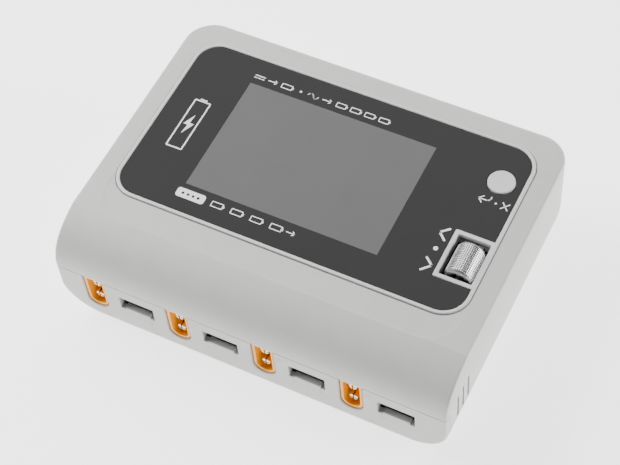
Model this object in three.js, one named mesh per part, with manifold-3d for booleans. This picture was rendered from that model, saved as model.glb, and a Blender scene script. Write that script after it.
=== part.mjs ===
// Balance battery charger with four output channels, a colour display, a roller and an exit button.
// Millimetres, +Z up, +X right, +Y back. The origin is the middle of the footprint, on the surface
// that the feet stand on. Everything on the deck is built in the deck's own frame, where Y is
// measured from a line just behind the front face and Z is the height above the deck.
import * as THREE from "three";
import { mergeVertices } from "three/addons/utils/BufferGeometryUtils.js";
import Module from "manifold-3d";

const wasm = await Module();
wasm.setup();

// ---------- driving dimensions ----------
const WIDTH = 149;
const DEPTH = 110.6;
const SHELL_BOTTOM = 1.5;
const WALL = 2.2;
const GAP = 0.3;
const ARC_STEPS = 6;
const ROUND_STEPS = 20;
const FAR = 200;

const FRONT = -DEPTH / 2;
const REAR = DEPTH / 2;
const HALF_WIDTH = WIDTH / 2;

// The case parts at FRONT_SEAM_Z across the front face and lower down on the sides and rear.
const FRONT_SEAM_Z = 26.6;
const SIDE_SEAM_Z = 11;
const FRONT_PANEL_DEPTH = 3;

const DECK_Z = 43;
const DECK_SETBACK = 2;
const FRONT_CORNER = 1;
const REAR_CORNER = 11;
const KEEL_CORNER = 14;
const EDGE_CORNER = 4;
const DECK_EDGE = 2.5;

// The nose curves down from a little above the deck; that rise fades out towards the rear, and
// the middle of the deck is a shallow pan in it.
const NOSE_LENGTH = 17;
const NOSE_RISE = 0.25;
const NOSE_TOP_PULL = 9.1;
const NOSE_FRONT_PULL = 10.7;
const NOSE_TOP_SLOPE = 0.22;
const RISE_FADE = 45;
const PAN_HALF_WIDTH = 67;
const PAN_CORNER = 12;

// Display group, in the deck frame.
const BEZEL = { left: -67.1, right: 66.9, front: 25.2, back: 99.7, corner: 10 };
const RIM_WIDTH = 1.4;
const RIM_HEIGHT = 0.6;
const SHELF_TOP = -1;
const BEZEL_BOTTOM = -2;
const RECESS_FLOOR = -2.3;
const RECESS_THICKNESS = 1.5;
const LENS_BOTTOM = -0.7;
const LENS_TOP = 0.3;
const SCREEN = { left: -42.1, right: 31.4, front: 38.1, back: 87.2 };
const LCD_MARGIN = { side: 2.6, front: 6.5, back: 2.6 };
const LCD_THICKNESS = 2.6;
const BOARD_THICKNESS = 1.6;
const CONTROL_BOARD = { left: -50, right: 70, front: 31, back: 88, top: -9 };

const BUTTON = { x: 57.8, y: 82.5, radius: 4.9, top: 0.9, flangeRadius: 6.2, travel: 0.8 };
const SWITCH = { side: 6, top: -4.3, holeRadius: 2, plungerRadius: 1.7, floor: 0.6 };

const ROLLER = { x: 59.4, y: 47.5, z: -1.5, radius: 5.1, length: 12.7, bore: 1.3, axleRadius: 1 };
const ROLLER_WINDOW = { left: 53, right: 64.9, front: 40, back: 57, frame: 1.6, skirt: -4.5 };
const CRADLE = { cheek: 0.5, width: 8, bottom: -8.2, floor: -7.5, cheekTop: -0.5, travel: 0.5 };
const ENCODER = { width: 7, length: 4.2, top: -4.9, tongue: 1.3, tongueTop: -0.5 };

// Output channels on the front panel.
const CHANNELS = 4;
const CHANNEL_PITCH = 33.17;
const SOCKET = {
  firstX: -59.75, width: 8.1, height: 16, top: 26.2, depth: 16, cavity: 9.5, wall: 1.05,
  recess: 0.6, roundHeight: 3.5, clearance: 0.35,
};
const PIN = { radius: 1.75, spacing: 7.2, rise: 0, tip: 1.2, slit: 0.4, slitDepth: 5.5 };
const HEADER = {
  firstX: -43.13, slotWidth: 13.45, slotTop: 21.6, slotBottom: 16, keyBottom: 15.1, keyWidth: 1.7,
  width: 14.9, height: 8, depth: 9, cavity: 7, pins: 5, pitch: 2.5, pinSide: 0.64,
};
const OUTPUT_BOARD_FRONT = -36.5;

// Rear panel.
const FAN = {
  x: -30, z: 21.5, side: 30, depth: 10, duct: 14, blade: 13.4, hub: 7, blades: 7, screwSide: 12,
};
const GRILLE = { slots: 7, pitch: 4, slotWidth: 2.4, radius: 13.5, floor: 12.6 };
const INLET = {
  x: 36, z: 24, width: 22, height: 13, corner: 2, depth: 18,
  mouthWidth: 14.6, mouthHeight: 8.4, cavity: 12.5,
};
const INLET_PIN = { radius: 1.2, side: 4.3, tip: 2.5, tail: 4 };
const DC_INPUT = { x: 9, z: 18 };

// Side vents near the front corners.
const VENT = { firstY: -45.5, pitch: 4.22, count: 3, width: 1.3, top: 28.1, bottom: 15.5 };

// Main board and what stands on it.
const MAIN_BOARD = { halfWidth: 66, front: -32.5, back: 39, bottom: 7 };
const INSULATION = { bottom: 6.1, thickness: 0.5 };
const COMPONENT_Z = MAIN_BOARD.bottom + BOARD_THICKNESS + GAP;
const INDUCTOR = { side: 11, height: 6, y: -19, corner: 1.5 };
const HEAT_SINK = { x: -32, y: 2, width: 62, length: 26, height: 16, base: 3, fins: 11, fin: 1.4 };
const TRANSFORMER = { x: 27, y: 4, core: 26, coreHeight: 22, coil: 34, coilHeight: 14 };
const CAPACITOR = { x: 55, y: -8, radius: 8, length: 28 };
const RIBBON = { x: -2, width: 14, thickness: 0.6 };

const FOOT = { x: 48, y: 44, radius: 5, recess: 0.5 };
const SCREW = { x: 58, frontY: -29, rearY: 46, head: 2.7, shank: 1.25, bore: 1.55, top: 16 };
const POST = { radius: 3.6, bottom: 5.8, padRadius: 5, padTop: 5.5 };

// ---------- materials ----------
function material(color, roughness, metalness = 0) {
  return new THREE.MeshStandardMaterial({ color, roughness, metalness });
}

const MATERIALS = {
  casing: material(0xc2c3bf, 0.5),
  bezel: material(0xcbcfcb, 0.4),
  lens: material(0x454543, 0.15),
  screen: material(0x828282, 0.3),
  socketOrange: material(0xf09a05, 0.4),
  gold: material(0xd9b25c, 0.3, 1),
  blackPlastic: material(0x1e1e1e, 0.5),
  steel: material(0xb8b8ba, 0.25, 1),
  board: material(0x1f5f3a, 0.6),
  aluminium: material(0x9fa3a6, 0.4, 1),
  ferrite: material(0x3a3a3c, 0.7),
  rubber: material(0x222222, 0.9),
  sleeve: material(0x24324a, 0.4),
};

// ---------- solids ----------
function toSolid(geometry) {
  const bare = geometry.clone();
  bare.deleteAttribute("normal");
  bare.deleteAttribute("uv");
  const merged = mergeVertices(bare, 1e-5);
  const mesh = new wasm.Mesh({
    numProp: 3,
    vertProperties: new Float32Array(merged.attributes.position.array),
    triVerts: new Uint32Array(merged.index.array),
  });
  return new wasm.Manifold(mesh);
}

function toGeometry(solid) {
  const mesh = solid.getMesh();
  const geometry = new THREE.BufferGeometry();
  geometry.setAttribute("position", new THREE.BufferAttribute(mesh.vertProperties, 3));
  geometry.setIndex(new THREE.BufferAttribute(mesh.triVerts, 1));
  geometry.computeVertexNormals();
  return geometry;
}

const AXIS_FRAMES = {
  x: new THREE.Matrix4().makeBasis(
    new THREE.Vector3(0, 1, 0), new THREE.Vector3(0, 0, 1), new THREE.Vector3(1, 0, 0)),
  y: new THREE.Matrix4().makeBasis(
    new THREE.Vector3(1, 0, 0), new THREE.Vector3(0, 0, 1), new THREE.Vector3(0, -1, 0)),
  z: new THREE.Matrix4(),
};

// A shape drawn as (Y, Z), (X, Z) or (X, Y), extruded along X, Y or Z from start to end.
function prism(shape, axis, start, end) {
  const options = { depth: end - start, bevelEnabled: false, curveSegments: ARC_STEPS };
  const geometry = new THREE.ExtrudeGeometry(shape, options);
  geometry.translate(0, 0, axis === "y" ? -end : start);
  geometry.applyMatrix4(AXIS_FRAMES[axis]);
  return toSolid(geometry);
}

function block(x0, x1, y0, y1, z0, z1) {
  const geometry = new THREE.BoxGeometry(x1 - x0, y1 - y0, z1 - z0);
  geometry.translate((x0 + x1) / 2, (y0 + y1) / 2, (z0 + z1) / 2);
  return toSolid(geometry);
}

// A cylinder centred on (a, b) in the plane square to its axis: (Y, Z), (X, Z) or (X, Y).
function rod(axis, radius, a, b, start, end, steps = ROUND_STEPS) {
  const outline = new THREE.Shape();
  for (let i = 0; i < steps; i += 1) {
    const angle = (2 * Math.PI * i) / steps;
    const x = a + radius * Math.cos(angle);
    const y = b + radius * Math.sin(angle);
    if (i === 0) outline.moveTo(x, y);
    else outline.lineTo(x, y);
  }
  return prism(outline, axis, start, end);
}

// A rectangle whose corners are rounded, listed from the lower left, anticlockwise.
function roundedRectangle(x0, x1, y0, y1, lowerLeft, lowerRight, upperRight, upperLeft) {
  const shape = new THREE.Shape();
  shape.moveTo(x0 + lowerLeft, y0);
  shape.lineTo(x1 - lowerRight, y0);
  if (lowerRight > 0) {
    shape.absarc(x1 - lowerRight, y0 + lowerRight, lowerRight, -Math.PI / 2, 0, false);
  }
  shape.lineTo(x1, y1 - upperRight);
  if (upperRight > 0) {
    shape.absarc(x1 - upperRight, y1 - upperRight, upperRight, 0, Math.PI / 2, false);
  }
  shape.lineTo(x0 + upperLeft, y1);
  if (upperLeft > 0) {
    shape.absarc(x0 + upperLeft, y1 - upperLeft, upperLeft, Math.PI / 2, Math.PI, false);
  }
  shape.lineTo(x0, y0 + lowerLeft);
  if (lowerLeft > 0) {
    shape.absarc(x0 + lowerLeft, y0 + lowerLeft, lowerLeft, Math.PI, 1.5 * Math.PI, false);
  }
  return shape;
}

function evenRectangle(x0, x1, y0, y1, radius) {
  return roundedRectangle(x0, x1, y0, y1, radius, radius, radius, radius);
}

function cutAll(solid, cutters) {
  return cutters.reduce((rest, cutter) => rest.subtract(cutter), solid);
}

function joinAll(solids) {
  return solids.reduce((whole, solid) => whole.add(solid));
}

// A solid made in the deck frame, moved into the object's frame.
function raisedToDeck(solid) {
  return solid.translate([0, FRONT + DECK_SETBACK, DECK_Z]);
}

// ---------- the body's outer form and its inside, as one function of the inset ----------
// The section seen from the side, as (Y, Z), beside the pan.
function sideSection(inset) {
  const front = FRONT + inset;
  const rear = REAR - inset;
  const bottom = SHELL_BOTTOM + inset;
  const edge = EDGE_CORNER - inset;
  const top = DECK_Z - inset;
  const noseTop = new THREE.Vector2(FRONT + NOSE_LENGTH + inset, top + NOSE_RISE);
  const noseFoot = new THREE.Vector2(front, FRONT_SEAM_Z - inset);
  const shape = new THREE.Shape();
  shape.moveTo(front + edge, bottom);
  shape.lineTo(rear - edge, bottom);
  shape.absarc(rear - edge, bottom + edge, edge, -Math.PI / 2, 0, false);
  shape.lineTo(rear, top - DECK_EDGE);
  shape.lineTo(rear - DECK_EDGE, top);
  shape.lineTo(FRONT + RISE_FADE, top);
  shape.lineTo(noseTop.x, noseTop.y);
  shape.bezierCurveTo(
    noseTop.x - NOSE_TOP_PULL, noseTop.y - NOSE_TOP_PULL * NOSE_TOP_SLOPE,
    noseFoot.x, noseFoot.y + NOSE_FRONT_PULL, noseFoot.x, noseFoot.y);
  shape.lineTo(front, bottom + edge);
  shape.absarc(front + edge, bottom + edge, edge, Math.PI, 1.5 * Math.PI, false);
  return shape;
}

function bodyForm(inset) {
  const half = HALF_WIDTH - inset;
  const keel = KEEL_CORNER - inset;
  const frontCorner = Math.max(FRONT_CORNER - inset, 0.1);
  const rearCorner = REAR_CORNER - inset;
  const frontView = roundedRectangle(-half, half, SHELL_BOTTOM + inset, FAR, keel, keel, 0, 0);
  const plan = roundedRectangle(
    -half, half, FRONT + inset, REAR - inset, frontCorner, frontCorner, rearCorner, rearCorner);
  const envelope = prism(frontView, "y", -FAR, FAR).intersect(prism(plan, "z", 0, FAR));
  const section = prism(sideSection(inset), "x", -FAR, FAR);
  const panHalf = PAN_HALF_WIDTH - inset;
  const panFront = FRONT + NOSE_LENGTH + inset;
  const pan = prism(
    roundedRectangle(-panHalf, panHalf, panFront, FAR, PAN_CORNER, PAN_CORNER, 0, 0),
    "z", DECK_Z - inset, FAR);
  return envelope.intersect(section).subtract(pan);
}

// ---------- shared features ----------
function channelX(first, index) {
  return first + CHANNEL_PITCH * index;
}

const SOCKET_Z = SOCKET.top - SOCKET.height / 2;

// The connector's outline, centred on the origin, with a half-oval lower end.
function socketOutline(grow) {
  const x = SOCKET.width / 2 + grow;
  const z = SOCKET.height / 2 + grow;
  const roundHeight = SOCKET.roundHeight + grow;
  const shape = new THREE.Shape();
  shape.moveTo(-x, z);
  shape.lineTo(-x, -z + roundHeight);
  shape.absellipse(0, -z + roundHeight, x, roundHeight, Math.PI, 2 * Math.PI, false, 0);
  shape.lineTo(x, z);
  return shape;
}

// The balance header's mouth as (X, Z), centred on X, with a key slot at both lower corners.
function headerMouth() {
  const half = HEADER.slotWidth / 2;
  const key = HEADER.keyWidth;
  const shape = new THREE.Shape();
  shape.moveTo(-half, HEADER.keyBottom);
  shape.lineTo(-half + key, HEADER.keyBottom);
  shape.lineTo(-half + key, HEADER.slotBottom);
  shape.lineTo(half - key, HEADER.slotBottom);
  shape.lineTo(half - key, HEADER.keyBottom);
  shape.lineTo(half, HEADER.keyBottom);
  shape.lineTo(half, HEADER.slotTop);
  shape.lineTo(-half, HEADER.slotTop);
  return shape;
}

function screwPlaces() {
  const places = [];
  for (const y of [SCREW.frontY, SCREW.rearY]) {
    for (const x of [-SCREW.x, SCREW.x]) places.push({ x, y });
  }
  return places;
}

function footPlaces() {
  const places = [];
  for (const y of [-FOOT.y, FOOT.y]) {
    for (const x of [-FOOT.x, FOOT.x]) places.push({ x, y });
  }
  return places;
}

// ---------- the two halves of the case ----------
function partingBlock(grow) {
  const tray = block(-FAR, FAR, -FAR, FAR, -FAR, SIDE_SEAM_Z + grow);
  const panelBack = FRONT + FRONT_PANEL_DEPTH + grow;
  return tray.add(block(-FAR, FAR, -FAR, panelBack, -FAR, FRONT_SEAM_Z + grow));
}

function sideVents() {
  const cutters = [];
  for (let i = 0; i < VENT.count; i += 1) {
    const y = VENT.firstY + VENT.pitch * i;
    cutters.push(block(-FAR, FAR, y - VENT.width / 2, y + VENT.width / 2, VENT.bottom, VENT.top));
  }
  return cutters;
}

function fanGrille() {
  const cutters = [];
  for (let i = 0; i < GRILLE.slots; i += 1) {
    const offset = (i - (GRILLE.slots - 1) / 2) * GRILLE.pitch;
    const reach = Math.sqrt(GRILLE.radius ** 2 - offset ** 2);
    const x = FAN.x + offset;
    const bottom = Math.max(FAN.z - reach, GRILLE.floor);
    const half = GRILLE.slotWidth / 2;
    cutters.push(block(x - half, x + half, REAR - 2 * WALL, FAR, bottom, FAN.z + reach));
  }
  return cutters;
}

function deckRecess() {
  const pocket = evenRectangle(
    BEZEL.left - GAP, BEZEL.right + GAP, BEZEL.front - GAP, BEZEL.back + GAP, BEZEL.corner + GAP);
  const frame = rollerFrame(GAP);
  const skirt = block(
    frame.left, frame.right, frame.front, frame.back, ROLLER_WINDOW.skirt - GAP, 0);
  return raisedToDeck(prism(pocket, "z", RECESS_FLOOR, FAR).add(skirt));
}

// The plate that carries the bezel, still solid where the bezel's recess is cut into it.
function recessFloor(within) {
  const bottom = RECESS_FLOOR - RECESS_THICKNESS;
  const plate = prism(
    evenRectangle(
      BEZEL.left - WALL, BEZEL.right + WALL, BEZEL.front - WALL, BEZEL.back + WALL, BEZEL.corner),
    "z", bottom, SHELF_TOP);
  const lcd = lcdOutline(GAP);
  const openings = [
    block(lcd.left, lcd.right, lcd.front, lcd.back, -FAR, FAR),
    rod("z", BUTTON.flangeRadius + GAP, BUTTON.x, BUTTON.y, -FAR, FAR),
  ];
  return raisedToDeck(cutAll(plate, openings)).intersect(within);
}

function upperCase() {
  const shell = bodyForm(0).subtract(bodyForm(WALL)).subtract(partingBlock(GAP));
  const postTop = DECK_Z + RECESS_FLOOR - RECESS_THICKNESS / 2;
  const posts = screwPlaces().map(({ x, y }) => rod("z", POST.radius, x, y, POST.bottom, postTop));
  const bores = screwPlaces().map(({ x, y }) => rod("z", SCREW.bore, x, y, 0, SCREW.top + GAP));
  const inletHole = block(
    INLET.x - INLET.width / 2 - GAP, INLET.x + INLET.width / 2 + GAP, REAR - 2 * WALL, FAR,
    INLET.z - INLET.height / 2 - GAP, INLET.z + INLET.height / 2 + GAP);
  const dcHole = block(
    DC_INPUT.x - SOCKET.height / 2 - GAP, DC_INPUT.x + SOCKET.height / 2 + GAP,
    REAR - 2 * WALL, FAR,
    DC_INPUT.z - SOCKET.width / 2 - GAP, DC_INPUT.z + SOCKET.width / 2 + GAP);
  const whole = joinAll([shell, recessFloor(bodyForm(WALL / 2)), ...posts]);
  return cutAll(whole, [deckRecess(), ...bores, ...sideVents(), ...fanGrille(), inletHole, dcHole]);
}

function lowerCase() {
  const shell = bodyForm(0).subtract(bodyForm(WALL)).intersect(partingBlock(0));
  const pads = screwPlaces().map(({ x, y }) => {
    return rod("z", POST.padRadius, x, y, SHELL_BOTTOM + WALL / 2, POST.padTop);
  });
  const cutters = [];
  for (const { x, y } of screwPlaces()) {
    cutters.push(rod("z", SCREW.bore, x, y, 0, FAR));
    cutters.push(rod("z", SCREW.head + GAP, x, y, 0, SHELL_BOTTOM + WALL));
  }
  for (const { x, y } of footPlaces()) {
    cutters.push(rod("z", FOOT.radius + GAP, x, y, 0, SHELL_BOTTOM + FOOT.recess));
  }
  for (let i = 0; i < CHANNELS; i += 1) {
    const notch = prism(socketOutline(SOCKET.clearance), "y", FRONT - WALL, FRONT + 2 * WALL);
    const upward = block(
      -SOCKET.width / 2 - SOCKET.clearance, SOCKET.width / 2 + SOCKET.clearance,
      FRONT - WALL, FRONT + 2 * WALL, 0, SOCKET.height);
    const x = channelX(SOCKET.firstX, i);
    cutters.push(notch.add(upward).translate([x, 0, SOCKET_Z]));
    const mouth = prism(headerMouth(), "y", FRONT - WALL, FRONT + 2 * WALL);
    cutters.push(mouth.translate([channelX(HEADER.firstX, i), 0, 0]));
  }
  return cutAll(joinAll([shell, ...pads]), cutters);
}

// ---------- display, button and roller, in the deck frame ----------
function lcdOutline(grow) {
  return {
    left: SCREEN.left - LCD_MARGIN.side - grow,
    right: SCREEN.right + LCD_MARGIN.side + grow,
    front: SCREEN.front - LCD_MARGIN.front - grow,
    back: SCREEN.back + LCD_MARGIN.back + grow,
  };
}

function rollerFrame(grow) {
  const frame = ROLLER_WINDOW.frame + grow;
  return {
    left: ROLLER_WINDOW.left - frame,
    right: BEZEL.right - RIM_WIDTH / 2 + grow,
    front: ROLLER_WINDOW.front - frame,
    back: ROLLER_WINDOW.back + frame,
  };
}

function rollerWindow() {
  const w = ROLLER_WINDOW;
  return block(w.left, w.right, w.front, w.back, -FAR, FAR);
}

function displayBezel() {
  const outer = evenRectangle(BEZEL.left, BEZEL.right, BEZEL.front, BEZEL.back, BEZEL.corner);
  const well = evenRectangle(
    BEZEL.left + RIM_WIDTH, BEZEL.right - RIM_WIDTH, BEZEL.front + RIM_WIDTH, BEZEL.back - RIM_WIDTH,
    BEZEL.corner - RIM_WIDTH);
  const frame = rollerFrame(0);
  const collar = block(
    frame.left, frame.right, frame.front, frame.back, ROLLER_WINDOW.skirt, RIM_HEIGHT);
  const lcd = lcdOutline(GAP);
  const body = prism(outer, "z", BEZEL_BOTTOM, RIM_HEIGHT)
    .subtract(prism(well, "z", SHELF_TOP, FAR))
    .add(collar);
  return cutAll(body, [
    block(lcd.left, lcd.right, lcd.front, lcd.back, -FAR, FAR),
    rod("z", BUTTON.radius + GAP, BUTTON.x, BUTTON.y, -FAR, FAR),
    rollerWindow(),
  ]);
}

function displayLens() {
  const inset = RIM_WIDTH + GAP;
  const outline = evenRectangle(
    BEZEL.left + inset, BEZEL.right - inset, BEZEL.front + inset, BEZEL.back - inset,
    BEZEL.corner - inset);
  const frame = rollerFrame(GAP);
  return cutAll(prism(outline, "z", LENS_BOTTOM, LENS_TOP), [
    rod("z", BUTTON.radius + GAP, BUTTON.x, BUTTON.y, -FAR, FAR),
    block(frame.left, FAR, frame.front, frame.back, -FAR, FAR),
  ]);
}

function lcdModule() {
  const lcd = lcdOutline(0);
  const top = LENS_BOTTOM - GAP;
  return block(lcd.left, lcd.right, lcd.front, lcd.back, top - LCD_THICKNESS, top);
}

const FLANGE_TOP = BEZEL_BOTTOM - GAP;
const FLANGE_BOTTOM = FLANGE_TOP - 0.7;

function exitButton() {
  const flange = rod("z", BUTTON.flangeRadius, 0, 0, FLANGE_BOTTOM, FLANGE_TOP);
  const bevel = 0.4;
  const cap = new THREE.LatheGeometry(
    [
      new THREE.Vector2(0, FLANGE_BOTTOM),
      new THREE.Vector2(BUTTON.radius, FLANGE_BOTTOM),
      new THREE.Vector2(BUTTON.radius, BUTTON.top - bevel),
      new THREE.Vector2(BUTTON.radius - bevel, BUTTON.top),
      new THREE.Vector2(0, BUTTON.top),
    ],
    ROUND_STEPS);
  cap.rotateX(Math.PI / 2);
  return toSolid(cap).add(flange);
}

const SWITCH_BOTTOM = CONTROL_BOARD.top + GAP;

function buttonSwitch() {
  const half = SWITCH.side / 2;
  const body = block(-half, half, -half, half, SWITCH_BOTTOM, SWITCH.top);
  const well = rod("z", SWITCH.holeRadius, 0, 0, SWITCH_BOTTOM + SWITCH.floor, FAR);
  return body.subtract(well);
}

function switchPlunger() {
  const bottom = SWITCH_BOTTOM + SWITCH.floor + BUTTON.travel + GAP;
  return rod("z", SWITCH.plungerRadius, 0, 0, bottom, FLANGE_BOTTOM - GAP);
}

function rollerWheel() {
  const half = ROLLER.length / 2;
  const chamfer = 0.7;
  const profile = [
    new THREE.Vector2(ROLLER.bore, -half),
    new THREE.Vector2(ROLLER.radius - chamfer, -half),
    new THREE.Vector2(ROLLER.radius, -half + chamfer),
    new THREE.Vector2(ROLLER.radius, half - chamfer),
    new THREE.Vector2(ROLLER.radius - chamfer, half),
    new THREE.Vector2(ROLLER.bore, half),
    new THREE.Vector2(ROLLER.bore, -half),
  ];
  return toSolid(new THREE.LatheGeometry(profile, 2 * ROUND_STEPS));
}

const CHEEK_OUTER = ROLLER.length / 2 + GAP + CRADLE.cheek;

function rollerAxle() {
  const back = CHEEK_OUTER + GAP + ENCODER.tongue;
  return rod("y", ROLLER.axleRadius, 0, 0, -CHEEK_OUTER, back, 12);
}

// A fork: a floor under the wheel and a cheek at each end, each slotted for the axle.
function rollerCradle() {
  const outer = CHEEK_OUTER;
  const inner = outer - CRADLE.cheek;
  const half = CRADLE.width / 2;
  const drop = -ROLLER.z;
  const base = block(-half, half, -outer, outer, CRADLE.bottom + drop, CRADLE.floor + drop);
  const cheekTop = CRADLE.cheekTop + drop;
  const front = block(-half, half, -outer, -inner, CRADLE.bottom + drop, cheekTop);
  const back = block(-half, half, inner, outer, CRADLE.bottom + drop, cheekTop);
  const slot = rod("y", ROLLER.bore, 0, 0, -FAR, FAR, 12)
    .add(block(-ROLLER.bore, ROLLER.bore, -FAR, FAR, 0, FAR));
  return joinAll([base, front, back]).subtract(slot);
}

// The axle's end turns in a tall slot in the tongue, so that the cradle can be pressed down.
function rollerEncoder() {
  const half = ENCODER.width / 2;
  const bottom = CONTROL_BOARD.top + GAP;
  const body = block(-half, half, 0, ENCODER.length, bottom, ENCODER.top);
  const tongue = block(-half, half, 0, ENCODER.tongue, bottom, ENCODER.tongueTop);
  const slotFoot = ROLLER.z - CRADLE.travel;
  const slot = rod("y", ROLLER.bore, 0, slotFoot, -FAR, FAR, 12)
    .add(block(-ROLLER.bore, ROLLER.bore, -FAR, FAR, slotFoot, FAR));
  return body.add(tongue).subtract(slot);
}

function controlBoard() {
  const b = CONTROL_BOARD;
  return prism(evenRectangle(b.left, b.right, b.front, b.back, 2), "z", b.top - BOARD_THICKNESS, b.top);
}

// ---------- connectors, each facing -Y with its mouth at Y = 0 ----------
function pinHeight(side) {
  return PIN.rise + (side * PIN.spacing) / 2;
}

function powerSocket() {
  const body = prism(socketOutline(0), "y", 0, SOCKET.depth);
  const cavity = prism(socketOutline(-SOCKET.wall), "y", -SOCKET.wall, SOCKET.cavity);
  const holes = [-1, 1].map((side) => {
    return rod("y", PIN.radius + GAP, 0, pinHeight(side), 0, FAR, 16);
  });
  return cutAll(body, [cavity, ...holes]);
}

// A bullet pin, split crosswise at its tip.
function powerPin(length) {
  const half = PIN.slit / 2;
  const slitEnd = PIN.tip + PIN.slitDepth;
  return cutAll(rod("y", PIN.radius, 0, 0, PIN.tip, PIN.tip + length, 16), [
    block(-FAR, FAR, -FAR, slitEnd, -half, half),
    block(-half, half, -FAR, slitEnd, -FAR, FAR),
  ]);
}

const HEADER_Z = (HEADER.slotTop + HEADER.keyBottom) / 2;
const HEADER_FRONT = FRONT + WALL + GAP;
const COMB_HALF = ((HEADER.pins - 1) * HEADER.pitch) / 2 + HEADER.pinSide / 2;

function balanceSocket() {
  const x = HEADER.width / 2;
  const z = HEADER.height / 2;
  const body = block(-x, x, 0, HEADER.depth, -z, z);
  const mouth = prism(headerMouth(), "y", -WALL, HEADER.cavity).translate([0, 0, -HEADER_Z]);
  const side = HEADER.pinSide / 2 + GAP;
  const slot = block(-COMB_HALF - GAP, COMB_HALF + GAP, 0, FAR, -side, side);
  return cutAll(body, [mouth, slot]);
}

// The header's pins, held together behind the housing by their common bar.
function balancePins() {
  const side = HEADER.pinSide / 2;
  const barFront = HEADER.depth + GAP;
  const boardGap = OUTPUT_BOARD_FRONT - GAP - HEADER_FRONT;
  const bar = block(-COMB_HALF, COMB_HALF, barFront, barFront + 1, -side, side);
  const pins = [];
  for (let i = 0; i < HEADER.pins; i += 1) {
    const x = (i - (HEADER.pins - 1) / 2) * HEADER.pitch;
    pins.push(block(x - side, x + side, 2, boardGap, -side, side));
  }
  return joinAll([bar, ...pins]);
}

function acInlet() {
  const x = INLET.width / 2;
  const z = INLET.height / 2;
  const body = prism(evenRectangle(-x, x, -z, z, INLET.corner), "y", 0, INLET.depth);
  const mouthX = INLET.mouthWidth / 2;
  const mouthZ = INLET.mouthHeight / 2;
  const mouth = evenRectangle(-mouthX, mouthX, -mouthZ, mouthZ, mouthZ - 0.1);
  const holes = [-1, 1].map((side) => {
    return rod("y", INLET_PIN.radius + GAP, side * INLET_PIN.side, 0, 0, FAR, 12);
  });
  return cutAll(body, [prism(mouth, "y", -1, INLET.cavity), ...holes]);
}

function acPin() {
  return rod("y", INLET_PIN.radius, 0, 0, INLET_PIN.tip, INLET.depth + INLET_PIN.tail, 12);
}

// ---------- boards and the parts on them ----------
function outputBoard() {
  const half = MAIN_BOARD.halfWidth;
  const front = OUTPUT_BOARD_FRONT;
  const plate = block(-half, half, front, front + BOARD_THICKNESS, MAIN_BOARD.bottom, 31);
  const holes = [];
  for (let i = 0; i < CHANNELS; i += 1) {
    for (const side of [-1, 1]) {
      const z = SOCKET_Z + pinHeight(side);
      const x = channelX(SOCKET.firstX, i);
      holes.push(rod("y", PIN.radius + GAP, x, z, -FAR, FAR, 12));
    }
  }
  return cutAll(plate, holes);
}

function mainBoard() {
  const b = MAIN_BOARD;
  const plate = block(-b.halfWidth, b.halfWidth, b.front, b.back, b.bottom, b.bottom + BOARD_THICKNESS);
  const holes = screwPlaces().map(({ x, y }) => rod("z", POST.radius + GAP, x, y, 0, FAR));
  return cutAll(plate, holes);
}

function insulationSheet() {
  const b = MAIN_BOARD;
  const { bottom, thickness } = INSULATION;
  const sheet = block(-b.halfWidth, b.halfWidth, b.front, b.back, bottom, bottom + thickness);
  return cutAll(sheet, screwPlaces().map(({ x, y }) => rod("z", POST.radius + GAP, x, y, 0, FAR)));
}

function powerInductor() {
  const half = INDUCTOR.side / 2;
  return prism(evenRectangle(-half, half, -half, half, INDUCTOR.corner), "z", 0, INDUCTOR.height);
}

function heatSink() {
  const x = HEAT_SINK.width / 2;
  const y = HEAT_SINK.length / 2;
  const pitch = (HEAT_SINK.width - HEAT_SINK.fin) / (HEAT_SINK.fins - 1);
  const pieces = [block(-x, x, -y, y, 0, HEAT_SINK.base)];
  for (let i = 0; i < HEAT_SINK.fins; i += 1) {
    const left = -x + pitch * i;
    pieces.push(block(left, left + HEAT_SINK.fin, -y, y, 0, HEAT_SINK.height));
  }
  return joinAll(pieces);
}

function transformer() {
  const core = TRANSFORMER.core / 2;
  const coil = TRANSFORMER.coil / 2;
  const middle = TRANSFORMER.coreHeight / 2;
  const half = TRANSFORMER.coilHeight / 2;
  const iron = block(-core, core, -core, core, 0, TRANSFORMER.coreHeight);
  const winding = prism(
    evenRectangle(-coil, coil, -core * 0.7, core * 0.7, 3), "z", middle - half, middle + half);
  return iron.add(winding);
}

function bulkCapacitor() {
  return rod("y", CAPACITOR.radius, 0, CAPACITOR.radius, 0, CAPACITOR.length);
}

// The ribbon's run, drawn as (Y, Z): down from the control board, then forward to the main board.
function ribbonCable() {
  const top = DECK_Z + CONTROL_BOARD.top - BOARD_THICKNESS - 3 * GAP;
  const y = FRONT + DECK_SETBACK + CONTROL_BOARD.front + 4;
  const bend = 4;
  const bottom = COMPONENT_Z;
  const t = RIBBON.thickness;
  const shape = new THREE.Shape();
  shape.moveTo(y, top);
  shape.lineTo(y, bottom + bend);
  shape.absarc(y - bend, bottom + bend, bend, 0, -Math.PI / 2, true);
  shape.lineTo(y - bend - 3, bottom);
  shape.lineTo(y - bend - 3, bottom + t);
  shape.lineTo(y - bend, bottom + t);
  shape.absarc(y - bend, bottom + bend, bend - t, -Math.PI / 2, 0, false);
  shape.lineTo(y - t, top);
  return prism(shape, "x", -RIBBON.width / 2, RIBBON.width / 2);
}

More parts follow.
